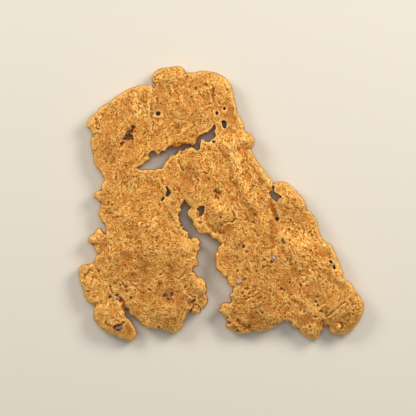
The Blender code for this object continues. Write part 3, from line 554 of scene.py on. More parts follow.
# %% Cracks: (width, depth in millimetres, path)
CRACKS = [
    (1.4, 0.6, [(326, 316.2), (328.2, 315.4)]),
    (1.2, 0.45, [(328.2, 315.4), (331, 313), (332.6, 311.6)]),
    (1.4, 0.55, [(332.3, 311.9), (334, 310.2)]),
    (1.1, 0.22, [(334, 310.2), (337, 309), (339.5, 306.5), (341.2, 303.5), (345, 302)]),
    (2.0, 0.6, [(238, 320), (239.5, 323.5)]),
    (1.5, 0.45, [(241.2, 321.4), (239.3, 322.5), (237.4, 322.3)]),
    (1.4, 0.35, [(240, 323.5), (244, 325.8), (247, 328)]),
    (2.2, 0.6, [(246, 328.5), (249.5, 327.8)]), (1.5, 0.4, [(248, 327.5), (249.9, 325)]),
    (1.4, 0.4, [(248.5, 328.5), (251.2, 330.8)]),
    (1.5, 0.25, [(152.5, 79), (156, 76), (160, 73), (164, 72)]),
    (1.4, 0.4, [(88.4, 272.3), (86, 273.5), (84.8, 276), (84.5, 279)]),
    (1.4, 0.3, [(84.8, 276.5), (82.2, 277.5)]), (1.3, 0.3, [(89.5, 270.6), (92.5, 270.8)]),
    (1.2, 0.35, [(97.3, 269.2), (98.7, 270.3), (99.5, 272.4)]),
    (1.3, 0.3, [(92.6, 277), (92.8, 280.5), (91, 282)]),
    (1.4, 0.3, [(250.8, 221.8), (254, 222), (255.8, 224.5)]),
    (1.6, 0.35, [(261.5, 269), (263.5, 266.8), (266.5, 266)]),
    (1.4, 0.3, [(179.5, 278), (182, 275.5), (184.5, 273)]),
    (1.8, 0.5, [(341, 323.2), (342.3, 325.2), (342.2, 328.2)]),
    (1.4, 0.25, [(336.5, 322.3), (339.5, 322)]),
    (1.5, 0.35, [(171.5, 228.5), (173, 231.5), (176, 233.5)]),
    (1.5, 0.3, [(178, 160), (180, 164.5), (183.5, 170.5)]),
    (1.4, 0.25, [(195.5, 176), (198.5, 181.5)]), (1.5, 0.3, [(161.5, 179.5), (163.8, 184.5)]),
    (1.4, 0.35, [(151.2, 105.5), (151.5, 110)]), (1.4, 0.3, [(151.9, 113.5), (151.4, 117.5)]),
    (1.3, 0.3, [(157.2, 98), (157.4, 103.5)]), (1.5, 0.25, [(153.4, 122), (152.6, 130)]),
    (2, 0.25, [(213.2, 89), (212.6, 95), (213.6, 101)]),
    (1.4, 0.25, [(116.5, 109), (116, 114), (117, 119)]),
    (1.4, 0.35, [(95.5, 119), (97.5, 123), (96, 127.5)]), (1.4, 0.25, [(206, 104.5), (211, 104)]),
    (1.4, 0.25, [(176, 118.5), (181, 119.5), (185, 119)]),
    (1.3, 0.25, [(115.5, 174), (116.5, 180)]), (1.3, 0.12, [(104, 209), (109, 209.6)]),
    (1.3, 0.12, [(103.5, 213), (108.5, 213.4)]), (1.3, 0.12, [(181, 256.4), (186.5, 257.2)]),
    (1.5, 0.3, [(122, 282.5), (124.5, 285.5), (126, 288), (126.5, 292)]),
    (1.4, 0.35, [(109.5, 285.5), (111, 289), (112, 291.5)]), (1.5, 0.3, [(133, 285), (134.8, 286)]),
    (1.2, 0.2, [(137, 285), (141, 285.4)]), (1.3, 0.35, [(148, 289.3), (151, 290.5)]),
    (1.8, 0.45, [(162.5, 296.5), (164.3, 294.8), (166, 295.5)]),
    (1.6, 0.45, [(171, 296.5), (171.8, 293.5)]),
    (1.4, 0.3, [(190.5, 294.3), (191.7, 297), (195.5, 297.5)]),
    (1.7, 0.55, [(194.4, 299.8), (191.6, 303.2)]),
    (1.8, 0.5, [(193.6, 305), (192.5, 309), (190.2, 311.5)]),
    (1.3, 0.25, [(195.5, 304.6), (198.2, 305.2), (199, 307.5)]),
    (1.3, 0.35, [(200.6, 219), (202.2, 218.2)]), (1.5, 0.4, [(199.6, 222.9), (201, 222.3)]),
    (1.3, 0.35, [(232.6, 211.8), (233.6, 213.2)]),
    (1.5, 0.45, [(233.9, 215), (234.6, 218.5), (232.9, 221.2)]),
    (1.2, 0.3, [(230.5, 221.9), (228.5, 221.6), (226, 222.6)]),
    (1.7, 0.45, [(219, 232.6), (222.8, 232.8)]),
    (1.9, 0.55, [(215.3, 190.8), (217.2, 192.8), (219, 193.3)]),
    (1.3, 0.35, [(216.2, 194.5), (217.4, 197)]), (1.4, 0.3, [(255, 231.5), (258, 236)]),
    (1.3, 0.5, [(282.2, 238.8), (282.8, 241.5), (283.8, 243.6)]),
    (1.4, 0.35, [(302.6, 226.5), (303.8, 230), (303.5, 233.5)]),
    (1.4, 0.35, [(309.8, 231), (311.8, 234.8)]), (1.2, 0.25, [(308.3, 249.4), (311.6, 249.8)]),
    (1.1, 0.25, [(301, 275.6), (305.5, 275.2)]), (1.3, 0.25, [(321, 304.5), (323.7, 302)]),
    (1.3, 0.2, [(310.5, 316), (315, 316.8)]),
    (1.2, 0.2, [(349.5, 299.8), (352.8, 301.3), (353.2, 304)]),
    (1.2, 0.12, [(346.6, 302), (346.8, 305), (350, 306.4)]),
    (1.4, 0.5, [(120.8, 326.5), (123.8, 322.7)]), (1.3, 0.4, [(271.5, 251.8), (271.8, 255.5)]),
    (1.4, 0.25, [(128, 128), (126, 130)]),
]

# %% [markdown]
# ## Tones: worn and bright places, and painted light and shade
#
# Some places are rubbed dull and brown, and others are fresh, yellow and bright. Other patches are
# painted light and painted shade: a brighter upper left on the dome and darker places along the
# lower edges of the legs. The eye reads the surface by these soft patches, so the largest are placed
# one by one: a tone below zero is darker, and above zero brighter. A second list says where the
# crumple is rubbed smooth, or left sharp.

# %% Tones, with painted light and shade among them: (across, down, radius, tone)
TONES = [
    (155, 111, 9, -0.6), (120, 115, 9, -0.6), (108, 148, 12, -0.6), (114, 158, 8, -0.5),
    (182, 110, 6, -0.4), (187, 98, 9, -0.4), (210, 98, 11, -0.6), (190, 177, 12, -0.7),
    (182, 189, 8, -0.5), (142, 166, 8, -0.5), (173, 204, 6, -0.6), (165, 184, 6, -0.4),
    (217, 193, 8, -0.9), (232, 198, 6, -0.7), (251, 218, 12, -0.7), (237, 187, 6, -0.5),
    (201, 211, 8, -0.8), (224, 231, 12, -0.7), (225, 218, 8, 0.6), (275, 214, 7, -0.8),
    (274, 193, 7, -0.7), (272, 238, 7, -0.6), (241, 247, 8, -0.6), (283, 240, 6, -0.6),
    (272, 260, 8, -0.5), (235, 258, 8, -0.3), (125, 255, 8, -0.6), (118, 262, 8, -0.6),
    (143, 271, 18, -0.75), (172, 267, 12, -0.6), (86, 272, 8, -0.5), (125, 289, 6, -0.7),
    (114, 297, 7, -0.8), (167, 296, 10, -0.8), (192, 301, 7, -0.7), (155, 308, 9, -0.3),
    (152, 290, 9, -0.3), (316, 300, 8, -0.8), (326, 309, 8, -0.5), (282, 289, 7, -0.6),
    (262, 302, 14, -0.4), (241, 283, 6, -0.5), (295, 275, 10, -0.4), (308, 237, 6, -0.3),
    (262, 247, 9, -0.3), (207, 238, 8, -0.4), (132, 145, 8, -0.3), (300, 218, 8, -0.2),
    (175, 72, 14, 0.6), (223, 82, 14, 0.1), (142, 90, 9, 0.5), (229, 142, 12, 0.6),
    (240, 136, 8, 0.5), (290, 191, 11, 0.6), (217, 206, 9, 0.9), (224, 211, 7, 0.4),
    (186, 248, 8, 0.8), (155, 223, 10, 0.5), (125, 213, 9, 0.5), (108, 221, 7, 0.4),
    (112, 250, 9, 0.5), (105, 308, 9, 0.5), (288, 247, 7, 0.6), (304, 244, 12, 0.85),
    (142, 187, 8, 0.4), (162, 177, 7, 0.5), (215, 170, 8, 0.4), (202, 158, 8, 0.5),
    (152, 322, 10, 0.4), (257, 273, 8, 0.4), (218, 267, 7, 0.4), (170, 308, 9, 0.4),
    (143, 147, 9, 0.4), (187, 127, 8, 0.4), (162, 123, 8, 0.4), (128, 172, 8, 0.4),
    (330, 288, 8, 0.4), (92, 240, 8, -0.1), (240, 305, 9, 0.3), (150, 213, 18, 0.35),
    (170, 235, 14, 0.35), (305, 252, 15, 0.3), (120, 245, 14, 0.3), (262, 322, 16, -0.4),
    (304, 320, 14, -0.7), (203, 306, 9, -0.5), (150, 105, 30, -0.25), (190, 120, 30, -0.25),
    (230, 115, 16, -0.7), (206, 68, 12, -0.45), (100, 287, 13, 0.45), (107, 268, 9, 0.35),
    (140, 300, 12, 0.3), (108, 325, 10, 0.25), (302, 200, 15, 0.35), (312, 230, 14, 0.3),
    (333, 255, 12, -0.5), (145, 318, 14, 0.7), (170, 70, 16, -0.2), (150, 245, 60, 0.2),
    (225, 255, 50, 0.2), (300, 248, 40, 0.3), (207, 158, 14, 0.3), (112, 225, 14, 0.25),
    (88, 284, 7, 0.1), (120, 320, 7, 0.3), (197, 285, 8, 0.25), (94, 133, 8, -0.4),
]
# Where the crumple is rubbed smooth, or left sharp below zero: (across, down, radius, how much)
SMOOTH = [
    (252, 298, 16, 0.5), (292, 276, 14, 0.6), (276, 320, 14, 0.5), (142, 222, 24, 0.4),
    (346, 300, 14, 0.4), (104, 322, 12, 0.4), (206, 212, 8, -0.4), (222, 213, 17, -0.6),
    (246, 224, 13, -0.5), (102, 222, 10, -0.4), (296, 200, 12, 0.3), (232, 82, 12, 0.3),
]
# Long bright or dull places, mostly painted highlights along the ridges and the notch's edges,
# with painted shade beside some of them: (width, tone, path)
PAINTED_LIGHT_AND_SHADE_STREAKS = [
    (5, 0.7, [(133, 96), (138, 108), (146, 119)]),
    (6, 0.8, [(236, 158), (240, 175), (248, 192), (262, 216)]),
    (5, 0.7, [(256, 165), (264, 173), (272, 182)]),
    (5, 0.7, [(287, 236), (300, 247), (315, 261), (334, 274)]),
    (4, 0.6, [(296, 236), (312, 250), (330, 263), (342, 279)]),
    (3.5, 0.6, [(238, 224), (245, 230), (254, 239)]),
    (3, 0.6, [(277, 234), (275, 243), (272.5, 252)]),
    (4, 0.5, [(280, 292), (296, 306), (304, 318)]), (4, 0.4, [(298, 296), (308, 306), (314, 316)]),
    (3.5, -0.4, [(300, 244), (316, 256), (330, 272)]),
    (3.5, -0.4, [(243, 172), (250, 190), (256, 200)]),
    (3, 0.5, [(205, 118), (209, 113), (213, 112)]), (3, 0.4, [(181, 96), (186, 105), (192, 112)]),
    (9, 0.4, [(196, 238), (196, 262), (205, 285)]), (9, 0.4, [(221, 244), (217, 258), (229, 282)]),
]

# %% [markdown]
# ## Which way the crumple runs
#
# Hammering drags the skin one way in one place and another way in the next. In the right leg the
# creases run down to the right, along the ridges, and in the left leg they rise to the right.

# %% The run of the creases: (across, down, radius, turn in degrees)
RUNS = [
    (250, 185, 40, -60), (235, 145, 26, -70), (292, 203, 26, -50), (305, 255, 40, -42),
    (330, 272, 26, -42), (292, 308, 26, -58), (345, 312, 24, 60), (265, 262, 22, -35),
    (248, 300, 24, 20), (222, 212, 14, 60), (205, 168, 24, -35), (212, 95, 26, -70),
    (175, 95, 22, -50), (140, 106, 20, -62), (108, 114, 20, 40), (105, 150, 20, 75),
    (130, 175, 20, 55), (142, 222, 30, 35), (112, 212, 12, 0), (172, 197, 14, -45),
    (150, 262, 30, -8), (118, 282, 18, 20), (112, 318, 18, -50), (160, 315, 24, 20),
    (196, 290, 14, 80), (243, 324, 14, -30), (180, 130, 24, 30), (200, 120, 18, 45),
    (168, 77, 14, 10),
]
print(len(LUMPS), "lumps,", len(PITS), "pits,", len(CRACKS), "cracks and", len(TONES), "tones_with_painted_light")

# %% [markdown]
# ## Noise, for what no one would place by hand
#
# Smooth seeded noise gives the broad swells. The same noise, read at two places, gives a small push
# sideways, so that no ridge or groove runs dead straight. Nothing here is random from run to run.

# %% Swells and wander
UPPER_SWELLS = [(6.0, 0.14), (2.6, 0.07)]  # (how far apart, how high), in millimetres
UNDER_SWELLS = [(8.0, 0.35), (3.2, 0.30), (1.6, 0.16)]
WANDER, WANDER_APART = 0.5, 2.2  # how far a place is pushed, over what distance, in millimetres
LAYER_APART = 10.0  # every noise is read in its own layer, so no two are alike
THICKNESS, LEAST_HALF, MIDDLE_HEIGHT = 3.2, 0.65, 1.9  # millimetres
BOW = (210, 215, 150, 1.25)  # the whole plate is bowed upwards: (across, down, radius, height)
# Where the underside is worn flat against what it lies on: (across, down, radius, depth)
WORN_FLATS = [
    (180, 90, 30, 0.9), (107.5, 250, 27.5, 0.9), (145, 305, 27.5, 0.8), (327.5, 297.5, 30, 0.9),
    (252.5, 302.5, 25, 0.7),
]


def swells(xy, sizes, seed):
    """Smooth noise of a few sizes, one on top of the other."""
    height = np.zeros(len(xy))
    for layer, (apart, high) in enumerate(sizes):
        offset = LAYER_APART * (seed + layer)
        height += [high * noise.noise((x, y, offset)) for x, y in xy / apart]
    return height


def wandering(xy):
    """The places pushed a little sideways."""
    moved = [
        (noise.noise((x, y, 0)), noise.noise((x, y, LAYER_APART))) for x, y in xy / WANDER_APART
    ]
    return xy + WANDER * np.array(moved)


def upper_relief(xy):
    """Height of the upper face over the plain plate."""
    height = swells(xy, UPPER_SWELLS, seed=1)
    xy = wandering(xy)
    for lump in LUMPS:
        height += bump(xy, *lump)
    for ridge in RIDGES:
        height += line(xy, *ridge)
    for step in LEDGES:
        height += ledge(xy, *step)
    for groove in GROOVES:
        height -= line(xy, *groove)
    return height


def under_relief(xy):
    """Depth of the underside below the plain plate."""
    depth = swells(xy, UNDER_SWELLS, seed=5)
    for flat in WORN_FLATS:
        depth += bump(xy, *flat)
    return depth


# %% [markdown]
# ## Rounding the rims
#
# A real edge is rolled over, and thinner than the middle. For every point, a k-d tree finds the
# nearest point of a loop, and so how far inside the rim it is. The points near a rim are then laid
# round a quarter of an ellipse, and the rest are pushed up or down to the relief. The outer edge is
# rounder below than above, and its wall leans in and out a little on its way down.

# %% How far inside its rim a point is


def rims_of(xy):
    """How far each point is inside the nearest rim, the way inwards, and the rim's radius."""
    tree = KDTree(sum(len(points) for points, _, _ in loops))
    places, inwards, radii = [], [], []
    for points, radius, kind in loops:
        after, before = np.roll(points, -1, axis=0), np.roll(points, 1, axis=0)
        along = after - before
        area = np.sum(points[:, 0] * after[:, 1] - after[:, 0] * points[:, 1])
        inward = np.stack([-along[:, 1], along[:, 0]], axis=1) * np.sign(kind * area)
        places.append(points)
        inwards.append(inward / np.linalg.norm(inward, axis=1, keepdims=True))
        radii.append(np.full(len(points), radius))
    places, inwards, radii = np.concatenate(places), np.concatenate(inwards), np.concatenate(radii)
    for i, (x, y) in enumerate(places):
        tree.insert((x, y, 0), i)
    tree.balance()
    found = np.array([tree.find((x, y, 0))[1] for x, y in xy])
    away = xy - places[found]
    depth = np.maximum(np.sum(away * inwards[found], axis=1), 0)
    distance = np.linalg.norm(away, axis=1)
    inward = inwards[found]
    fan = (distance > OUTLINE_STEP) & (np.sum(away * inward, axis=1) > 0)
    inward[fan] = away[fan] / distance[fan, None]
    depth[fan] = distance[fan]
    return depth, inward, radii[found]


# %% Raise the relief
UNDER_RIM = 1.1  # the rounding of the outer edge from below, in millimetres
SWAY, SWAY_APART, SWAY_LAYERS = 0.45, 1.3, (210, 220)  # how the wall leans in and out
ROLL_WIDTH, ROLL_DROP = 1.2, 0.14  # the soft roll inside the tight outer edge, in millimetres
points = read_points(nugget)
xy = points[:, :2].copy()
level = np.clip(points[:, 2] / FLAT_HALF, -1, 1)
depth, inward, radius = rims_of(xy)
outer = radius == OUTER_RIM
radius[outer & (level < 0)] = UNDER_RIM
around = np.abs(level) * FLAT_HALF + depth
angle = math.pi / 2 * np.minimum(around / (FLAT_HALF + radius), 1)
inset = np.where(around < FLAT_HALF + radius, radius * (1 - np.cos(angle)), depth)
roll = np.where(outer, ROLL_DROP * (1 - np.clip(depth / ROLL_WIDTH, 0, 1)) ** 2, 0)
height = THICKNESS / 2 + upper_relief(xy) - roll
drop = THICKNESS / 2 + under_relief(xy)
half = np.where(level > 0, height, drop)
sway = np.array([[noise.noise((x, y, layer)) for layer in SWAY_LAYERS] for x, y in xy / SWAY_APART])
points[:, :2] = xy + inward * (inset - depth)[:, None]
points[:, :2] += SWAY * sway * np.where(level < 0, np.sin(angle), 0)[:, None]
points[:, 2] = (
    MIDDLE_HEIGHT + bump(xy, *BOW) + np.sign(level) * np.sin(angle) * np.maximum(half, LEAST_HALF)
)
write_points(nugget, points)
finish_with(nugget, "REMESH", mode="VOXEL", voxel_size=VOXEL * MM)
print("with its relief:", len(nugget.data.vertices), "points")

# %% [markdown]
# ## The crumple
#
# Close up, the face of a stream nugget looks like crumpled felt: short crests half a millimetre
# apart, running in patches this way and that, with round pinholes between them. Each patch is a
# creased noise, one minus the size of a smooth noise, which has sharp crests and round valleys. It
# is stretched along the patch's own direction, and four directions are mixed. Between the felt
# there are worn patches, a millimetre or two across, which sand has rubbed nearly smooth.

# %% Creased noise and worn patches
CREST_APART, CREST_HEIGHT = 0.55, 0.055  # millimetres
CREST_STRETCH = 2.2  # how many times longer than wide a crest is
FINE_SHARE, FINE_HEIGHT = 0.6, 0.035  # the finest creases are this much closer together
WARP, WARP_APART = 0.3, 1.2  # how far the crests are bent, over what distance, in millimetres
WORN_APART, WORN_LEFT = 1.6, 0.45  # how much of the crumple is left where it is worn
WORN_FINER = 2.3  # the second noise of the worn patches is this much finer, and half as strong
WORN_MEAN, WORN_CONTRAST = 0.4, 1.9  # how much of the face is worn, and how clear the patches are
# The tones include painted light and shade, so this also carries painted shade into the worn colour.
WORN_BY_TONE = 1.5  # a bright tone takes this much of the wear away, and a dull one adds it
UNDERSIDE = 1.5  # below this height, in millimetres, tones have no effect
RUN_APART, RUN_STRAY, RUN_PULL = 4, 0.6, 0.9  # how far and how strongly the runs turn by chance
RUN_TURNS = (0, 45, 90, 135)  # the directions that are mixed, in degrees
RUN_MEAN, RUN_CONTRAST = 0.8, 0.5  # how strong the creases are that run one way
RUN_LAYERS, FINE_LAYER, WORN_LAYERS, STRAY_LAYERS = (30, 40), 50, (70, 80), (90, 100, 110)


def noise_at(spots, offset):
    """Smooth noise, from about -0.5 to 0.5, at each spot."""
    return np.array([noise.noise((x, y, z + offset)) for x, y, z in spots])


def tones_with_painted_light(xy):
    """From about -1, darker, to 1, brighter: worn and fresh places, and painted light and shade."""
    tone = np.zeros(len(xy))
    for patch in TONES:
        tone += bump(xy, *patch)
    for streak in PAINTED_LIGHT_AND_SHADE_STREAKS:
        tone += line(xy, *streak)
    return tone


def worn_patches(points):
    """1 where sand has rubbed the crumple flat, and 0 where it is fresh."""
    large, small = WORN_LAYERS
    broad = noise_at(points / WORN_APART, large)
    broad += 0.5 * noise_at(points * WORN_FINER / WORN_APART, small)
    up = np.clip(points[:, 2] - UNDERSIDE, 0, 1)
    xy = wandering(points[:, :2])
    # The tones hold painted light and shade, so the worn patches, and their duller colour, follow it
    # in part.
    rubbed = sum(bump(xy, *patch) for patch in SMOOTH) - WORN_BY_TONE * tones_with_painted_light(xy)
    return np.clip(WORN_MEAN + WORN_CONTRAST * broad + up * rubbed, 0, 1)


def run_strengths(points):
    """How strong, from 0 to 1, the creases are that run in each of the RUN_TURNS."""
    cos2, sin2 = (RUN_STRAY * noise_at(points / RUN_APART, layer) for layer in RUN_LAYERS)
    for across, down, radius, turn in RUNS:
        near = bump(points[:, :2], across, down, radius, RUN_PULL)
        cos2 += near * math.cos(2 * math.radians(turn))
        sin2 += near * math.sin(2 * math.radians(turn))
    length = np.maximum(np.hypot(cos2, sin2), 1)
    return [
        np.clip(RUN_MEAN + RUN_CONTRAST * part / length, 0, 1)
        for part in (cos2, sin2, -cos2, -sin2)
    ]


def crumple(points):
    """The height of the crests, in millimetres, at each point."""
    warp = np.stack([noise_at(points / WARP_APART, i * LAYER_APART) for i in range(3)], axis=1)
    spots = points + WARP * warp
    crests = np.full(len(points), -1.0)
    for i, strength in enumerate(run_strengths(points)):
        turn = math.pi * i / 4
        turned = spots.copy()
        turned[:, 0] = (spots[:, 0] * math.cos(turn) + spots[:, 1] * math.sin(turn)) / CREST_STRETCH
        turned[:, 1] = spots[:, 1] * math.cos(turn) - spots[:, 0] * math.sin(turn)
        crest = strength * (2 - 4 * np.abs(noise_at(turned / CREST_APART, i * LAYER_APART))) - 1
        crests = np.maximum(crests, crest)
    fine = 1 - 4 * np.abs(noise_at(spots / (FINE_SHARE * CREST_APART), FINE_LAYER))
    left = 1 - (1 - WORN_LEFT) * worn_patches(points)
    return left * (CREST_HEIGHT * crests + FINE_HEIGHT * fine)


# %% Pinholes, pits, and the dirt and painted shade in them
JAGGED, JAGGED_APART = 0.26, 0.42  # how far, and over what distance, a pit's edge strays
PINHOLE_APART, PINHOLE_RADIUS, PINHOLE_DEPTH = 0.95, 0.24, 0.18  # millimetres
CELL_SPREAD, SMALLEST_CELL = 7.3, 0.6  # which cells of the Voronoi pattern have a pinhole
PIT_SHARE, CRACK_SHARE = 0.8, 0.5  # how much of the depth is open, and not filled with dirt
# The dark brown painted in and round the pits and cracks is clay and painted shade.
FULL_DIRT_AND_SHADE, CRACK_DIRT_AND_SHADE = 0.42, 0.65  # how deep a pit full of dirt is, and how much a crack holds
DIRT_AND_SHADE_SPREAD = 1.5  # how many times wider than its pit or crack the dirt is


def strayed(points, layers):
    """The points pushed about over a short way, so that no placed pit has a smooth edge."""
    strays = np.stack([noise_at(points / JAGGED_APART, layer) for layer in layers], axis=1)
    return points[:, :len(layers)] + JAGGED * strays


def pinholes(points):
    """Small round pits, in some of the cells of a Voronoi pattern, from 0 to 1 deep."""
    depth = np.zeros(len(points))
    for i, spot in enumerate(strayed(points, STRAY_LAYERS) / PINHOLE_APART):
        distances, centres = noise.voronoi(spot)
        size = noise.cell(centres[0] * CELL_SPREAD)
        if size > SMALLEST_CELL:
            depth[i] = size * max(0, 1 - (distances[0] * PINHOLE_APART / PINHOLE_RADIUS) ** 2)
    return depth


def placed_pits(points):
    """The depth, in millimetres, of the pits and cracks that were placed one by one."""
    xy = strayed(points, STRAY_LAYERS[:2])
    depths = [PIT_SHARE * bump(xy, *pit) for pit in PITS]
    depths += [line(xy, width, CRACK_SHARE * depth, path) for width, depth, path in CRACKS]
    return np.max(depths, axis=0)


def dirt_and_painted_shade(points):
    """From 0 to 1, how much dark brown lies in and just round the pits and cracks: clay, and painted
    shade.
    """
    xy = strayed(points, STRAY_LAYERS[:2])
    layers = [
        bump(xy, across, down, DIRT_AND_SHADE_SPREAD * radius, depth / FULL_DIRT_AND_SHADE)
        for across, down, radius, depth in PITS
    ]
    layers += [
        line(xy, DIRT_AND_SHADE_SPREAD * width, CRACK_DIRT_AND_SHADE * depth / FULL_DIRT_AND_SHADE, path)
        for width, depth, path in CRACKS
    ]
    return np.clip(np.max(layers, axis=0), 0, 1)


# %% Crumple the surface
PIT_FADE = 2  # how steep a wall may be before its pits fade out
points = read_points(nugget)
normals = read_normals(nugget)
upper = np.clip(normals[:, 2] * PIT_FADE, 0, 1)
rough = crumple(points) - PINHOLE_DEPTH * pinholes(points) - upper * placed_pits(points)
print("crumple from", round(rough.min(), 3), "to", round(rough.max(), 3), "mm")
points += normals * (rough - np.median(rough))[:, None]
points[:, 2] = np.maximum(points[:, 2], 0)
write_points(nugget, points)

# %% [markdown]
# ## Fewer faces where they aren't needed
#
# The Remesh modifier's squares are all the same size. The Decimate modifier merges those that lie
# flat, so the worn underside keeps few and the crumpled side keeps many.

# %% Thin the faces out
TRIANGLES = 188000
FLAT_LEVEL = 0.001  # faces below this height, in millimetres, lie on the floor and are shaded flat
triangles = sum(len(face.vertices) - 2 for face in nugget.data.polygons)
finish_with(nugget, "DECIMATE", ratio=TRIANGLES / triangles, use_collapse_triangulate=True)
points = read_points(nugget)
points[:, 2] = np.maximum(points[:, 2], 0)
write_points(nugget, points)
nugget.data.shade_smooth()
for face in nugget.data.polygons:
    if face.center.z < FLAT_LEVEL * MM:
        face.use_smooth = False
print("from", triangles, "triangles to", len(nugget.data.polygons))

# %% [markdown]
# ## Which points are high and which are low
#
# Crests are painted paler, as rubbed wear and a painted highlight, and hollows a deeper
# brown-orange, as painted shade, so the finish has to know where they are.
# Each point is compared with the average of its neighbours, over a few rounds of smoothing. The
# result is kept on the mesh as an attribute, which the material reads by its name.

# %% Crests and hollows as attributes


def smoothed(points, edges, rounds):
    """The points after each has been moved to the average of itself and its neighbours."""
    count = np.bincount(edges.ravel(), minlength=len(points))[:, None] + 1
    for _ in range(rounds):
        total = points.copy()
        for a, b in ((0, 1), (1, 0)):
            for axis in range(3):
                total[:, axis] += np.bincount(
                    edges[:, a], weights=points[edges[:, b], axis], minlength=len(points)
                )
        points = total / count
    return points


def keep_attribute(item, name, values):
    """Keeps a number for each point, which a material can read by its name."""
    attribute = item.data.attributes.new(name, "FLOAT", "POINT")
    attribute.data.foreach_set("value", values.astype(np.float32))


NEARBY = 4  # rounds of smoothing
CREST_RANGE = 0.12  # millimetres from the deepest hollow to the highest crest
flat = np.empty(len(nugget.data.edges) * 2, dtype=np.int32)
nugget.data.edges.foreach_get("vertices", flat)
edges = flat.reshape(-1, 2)
normals = read_normals(nugget)
nearby = smoothed(points, edges, NEARBY)
crest = np.sum((points - nearby) * normals, axis=1)
print("crest spread:", crest.std(), "mm")
keep_attribute(nugget, "crest", np.clip(0.5 + crest / CREST_RANGE, 0, 1))

# %% [markdown]
# ## Stains
#
# Iron oxide has soaked into the fold, the deeper grooves and the rim of the slot as an orange-brown
# stain, and three specks of dark ironstone are pressed into the gold. Both are colour alone, so
# they are kept as attributes too.

# %% Where the stains are
# Orange-brown iron oxide, along paths: (width, strength, path)
ORANGE_STAINS = [
    (1.9, 0.65, [(270.8, 201), (271.6, 207), (273.3, 212.5), (275.5, 217)]),
    (3.4, 0.7, [(272.8, 212), (273.8, 213.5)]),
    (4, 0.35, [(274, 221), (271.5, 229), (273.5, 238), (271.5, 248)]),
    (2.2, 0.6, [(268.5, 222), (274, 221), (279, 222.8)]),
    (4, 0.6, [(126, 309), (123.5, 303), (120, 299.5)]), (2, 0.5, [(111, 288.5), (112.2, 292)]),
    (3.5, 0.3, [(206, 216), (207, 224), (214, 231), (222, 233), (230, 228)]),
    (3, 0.5, [(237, 320), (243, 325), (249, 328.5)]),
    (2.4, 1.1, [(172, 146), (178, 145.6), (185, 143.4), (190, 144.2)]),
    (2.2, 1.1, [(194, 143), (196, 139), (198, 135.5)]),
    (1.6, 0.7, [(182, 151), (184, 150.6), (186.5, 149)]),
    (1.6, 0.5, [(150, 163), (147, 166), (144, 167.5)]),
    (1.6, 0.5, [(160, 152), (165, 149.5), (168, 146.5)]), (2, 0.4, [(171, 69.3), (173, 70)]),
]
# Dark ironstone, along paths: (width, path)
IRONSTONE = [
    (1.6, [(133.2, 126.8), (131.4, 128.6)]), (1.8, [(131.4, 129), (129.6, 132), (128.6, 135)]),
    (1.4, [(130.4, 131.5), (130.8, 135), (132, 138.4)]),
    (1.5, [(128.8, 133.5), (126.5, 136.2), (124.7, 138.4)]),
    (1.3, [(124.8, 138.5), (129, 138.2), (132.4, 139)]), (1.1, [(123.2, 142.6), (121, 145.2)]),
    (2.4, [(130, 132), (128.6, 137)]), (0.9, [(300.4, 285), (301, 285.3)]),
]
IRON_SPREAD, IRON_SOLID = 1.6, 4  # times as wide as its path, and this much past full strength
# The pinholes are painted dark brown too, as dirt and painted shade.
PINHOLE_DIRT_AND_SHADE, STAIN_FADE = 0.85, 3  # and how steep a wall may be before its stains fade out
face_up = np.clip(normals[:, 2] * STAIN_FADE, 0, 1)
wandered = wandering(points[:, :2])
keep_attribute(nugget, "worn", worn_patches(points))
# The tone attribute keeps worn and fresh places, and painted light and shade.
keep_attribute(nugget, "tone", 0.5 + 0.5 * np.clip(face_up * tones_with_painted_light(wandered), -1, 1))
for turn, strength in zip(RUN_TURNS, run_strengths(points)):
    keep_attribute(nugget, f"run_{turn}", strength)
# The pit attribute holds the clay and painted shade in the pits, cracks and pinholes.
keep_attribute(nugget, "pit", np.maximum(face_up * dirt_and_painted_shade(points), PINHOLE_DIRT_AND_SHADE * pinholes(points)))
orange = np.max([line(wandered, *stain) for stain in ORANGE_STAINS], axis=0)
keep_attribute(nugget, "orange_stain", face_up * orange)
specks = [line(points[:, :2], IRON_SPREAD * width, 1, path) for width, path in IRONSTONE]
iron = np.clip(IRON_SOLID * np.max(specks, axis=0), 0, 1)
keep_attribute(nugget, "ironstone", face_up * iron)
print(len(ORANGE_STAINS), "stains and", len(IRONSTONE), "lines of ironstone")

# %% [markdown]
# ## Building a material
#
# Colours are picked as sRGB hex values, the way a colour picker gives them, and shaders work in
# linear light, so one function turns the first into the second. Another adds a node with its
# settings and links, which keeps a long node tree readable.

# %% Colour and node helpers


def linear(hex_colour):
    """An sRGB hex colour as linear red, green and blue, with alpha."""
    parts = [int(hex_colour[i:i + 2], 16) / 255 for i in (1, 3, 5)]
    return (*[c / 12.92 if c <= 0.04045 else ((c + 0.055) / 1.055) ** 2.4 for c in parts], 1)


def new_material(name):
    """A material, its node tree and its Principled shader."""
    made = bpy.data.materials.new(name)
    made.use_nodes = True
    return made, made.node_tree, made.node_tree.nodes["Principled BSDF"]


def add_node(tree, kind, settings=(), values=(), links=(), stops=()):
    """Adds a node and gives its first output. Settings are the node's own, values go to its
    sockets, links come from other nodes, and stops are a ramp's, as (place, hex colour). A socket
    goes by its name, or by its number in a Math node, where they all have one name."""
    node = tree.nodes.new("ShaderNode" + kind)
    for name, value in dict(settings).items():
        setattr(node, name, value)
    sockets = {socket.name: socket for socket in node.inputs if socket.enabled}
    sockets.update(enumerate(node.inputs))
    for name, value in dict(values).items():
        sockets[name].default_value = value
    for name, source in dict(links).items():
        tree.links.new(source, sockets[name])
    for _ in stops[2:]:
        node.color_ramp.elements.new(1)
    for i, (place, colour) in enumerate(stops):
        node.color_ramp.elements[i].position = place
        node.color_ramp.elements[i].color = linear(colour)
    return next(output for output in node.outputs if output.enabled)


PER_METRE = 1 / MM
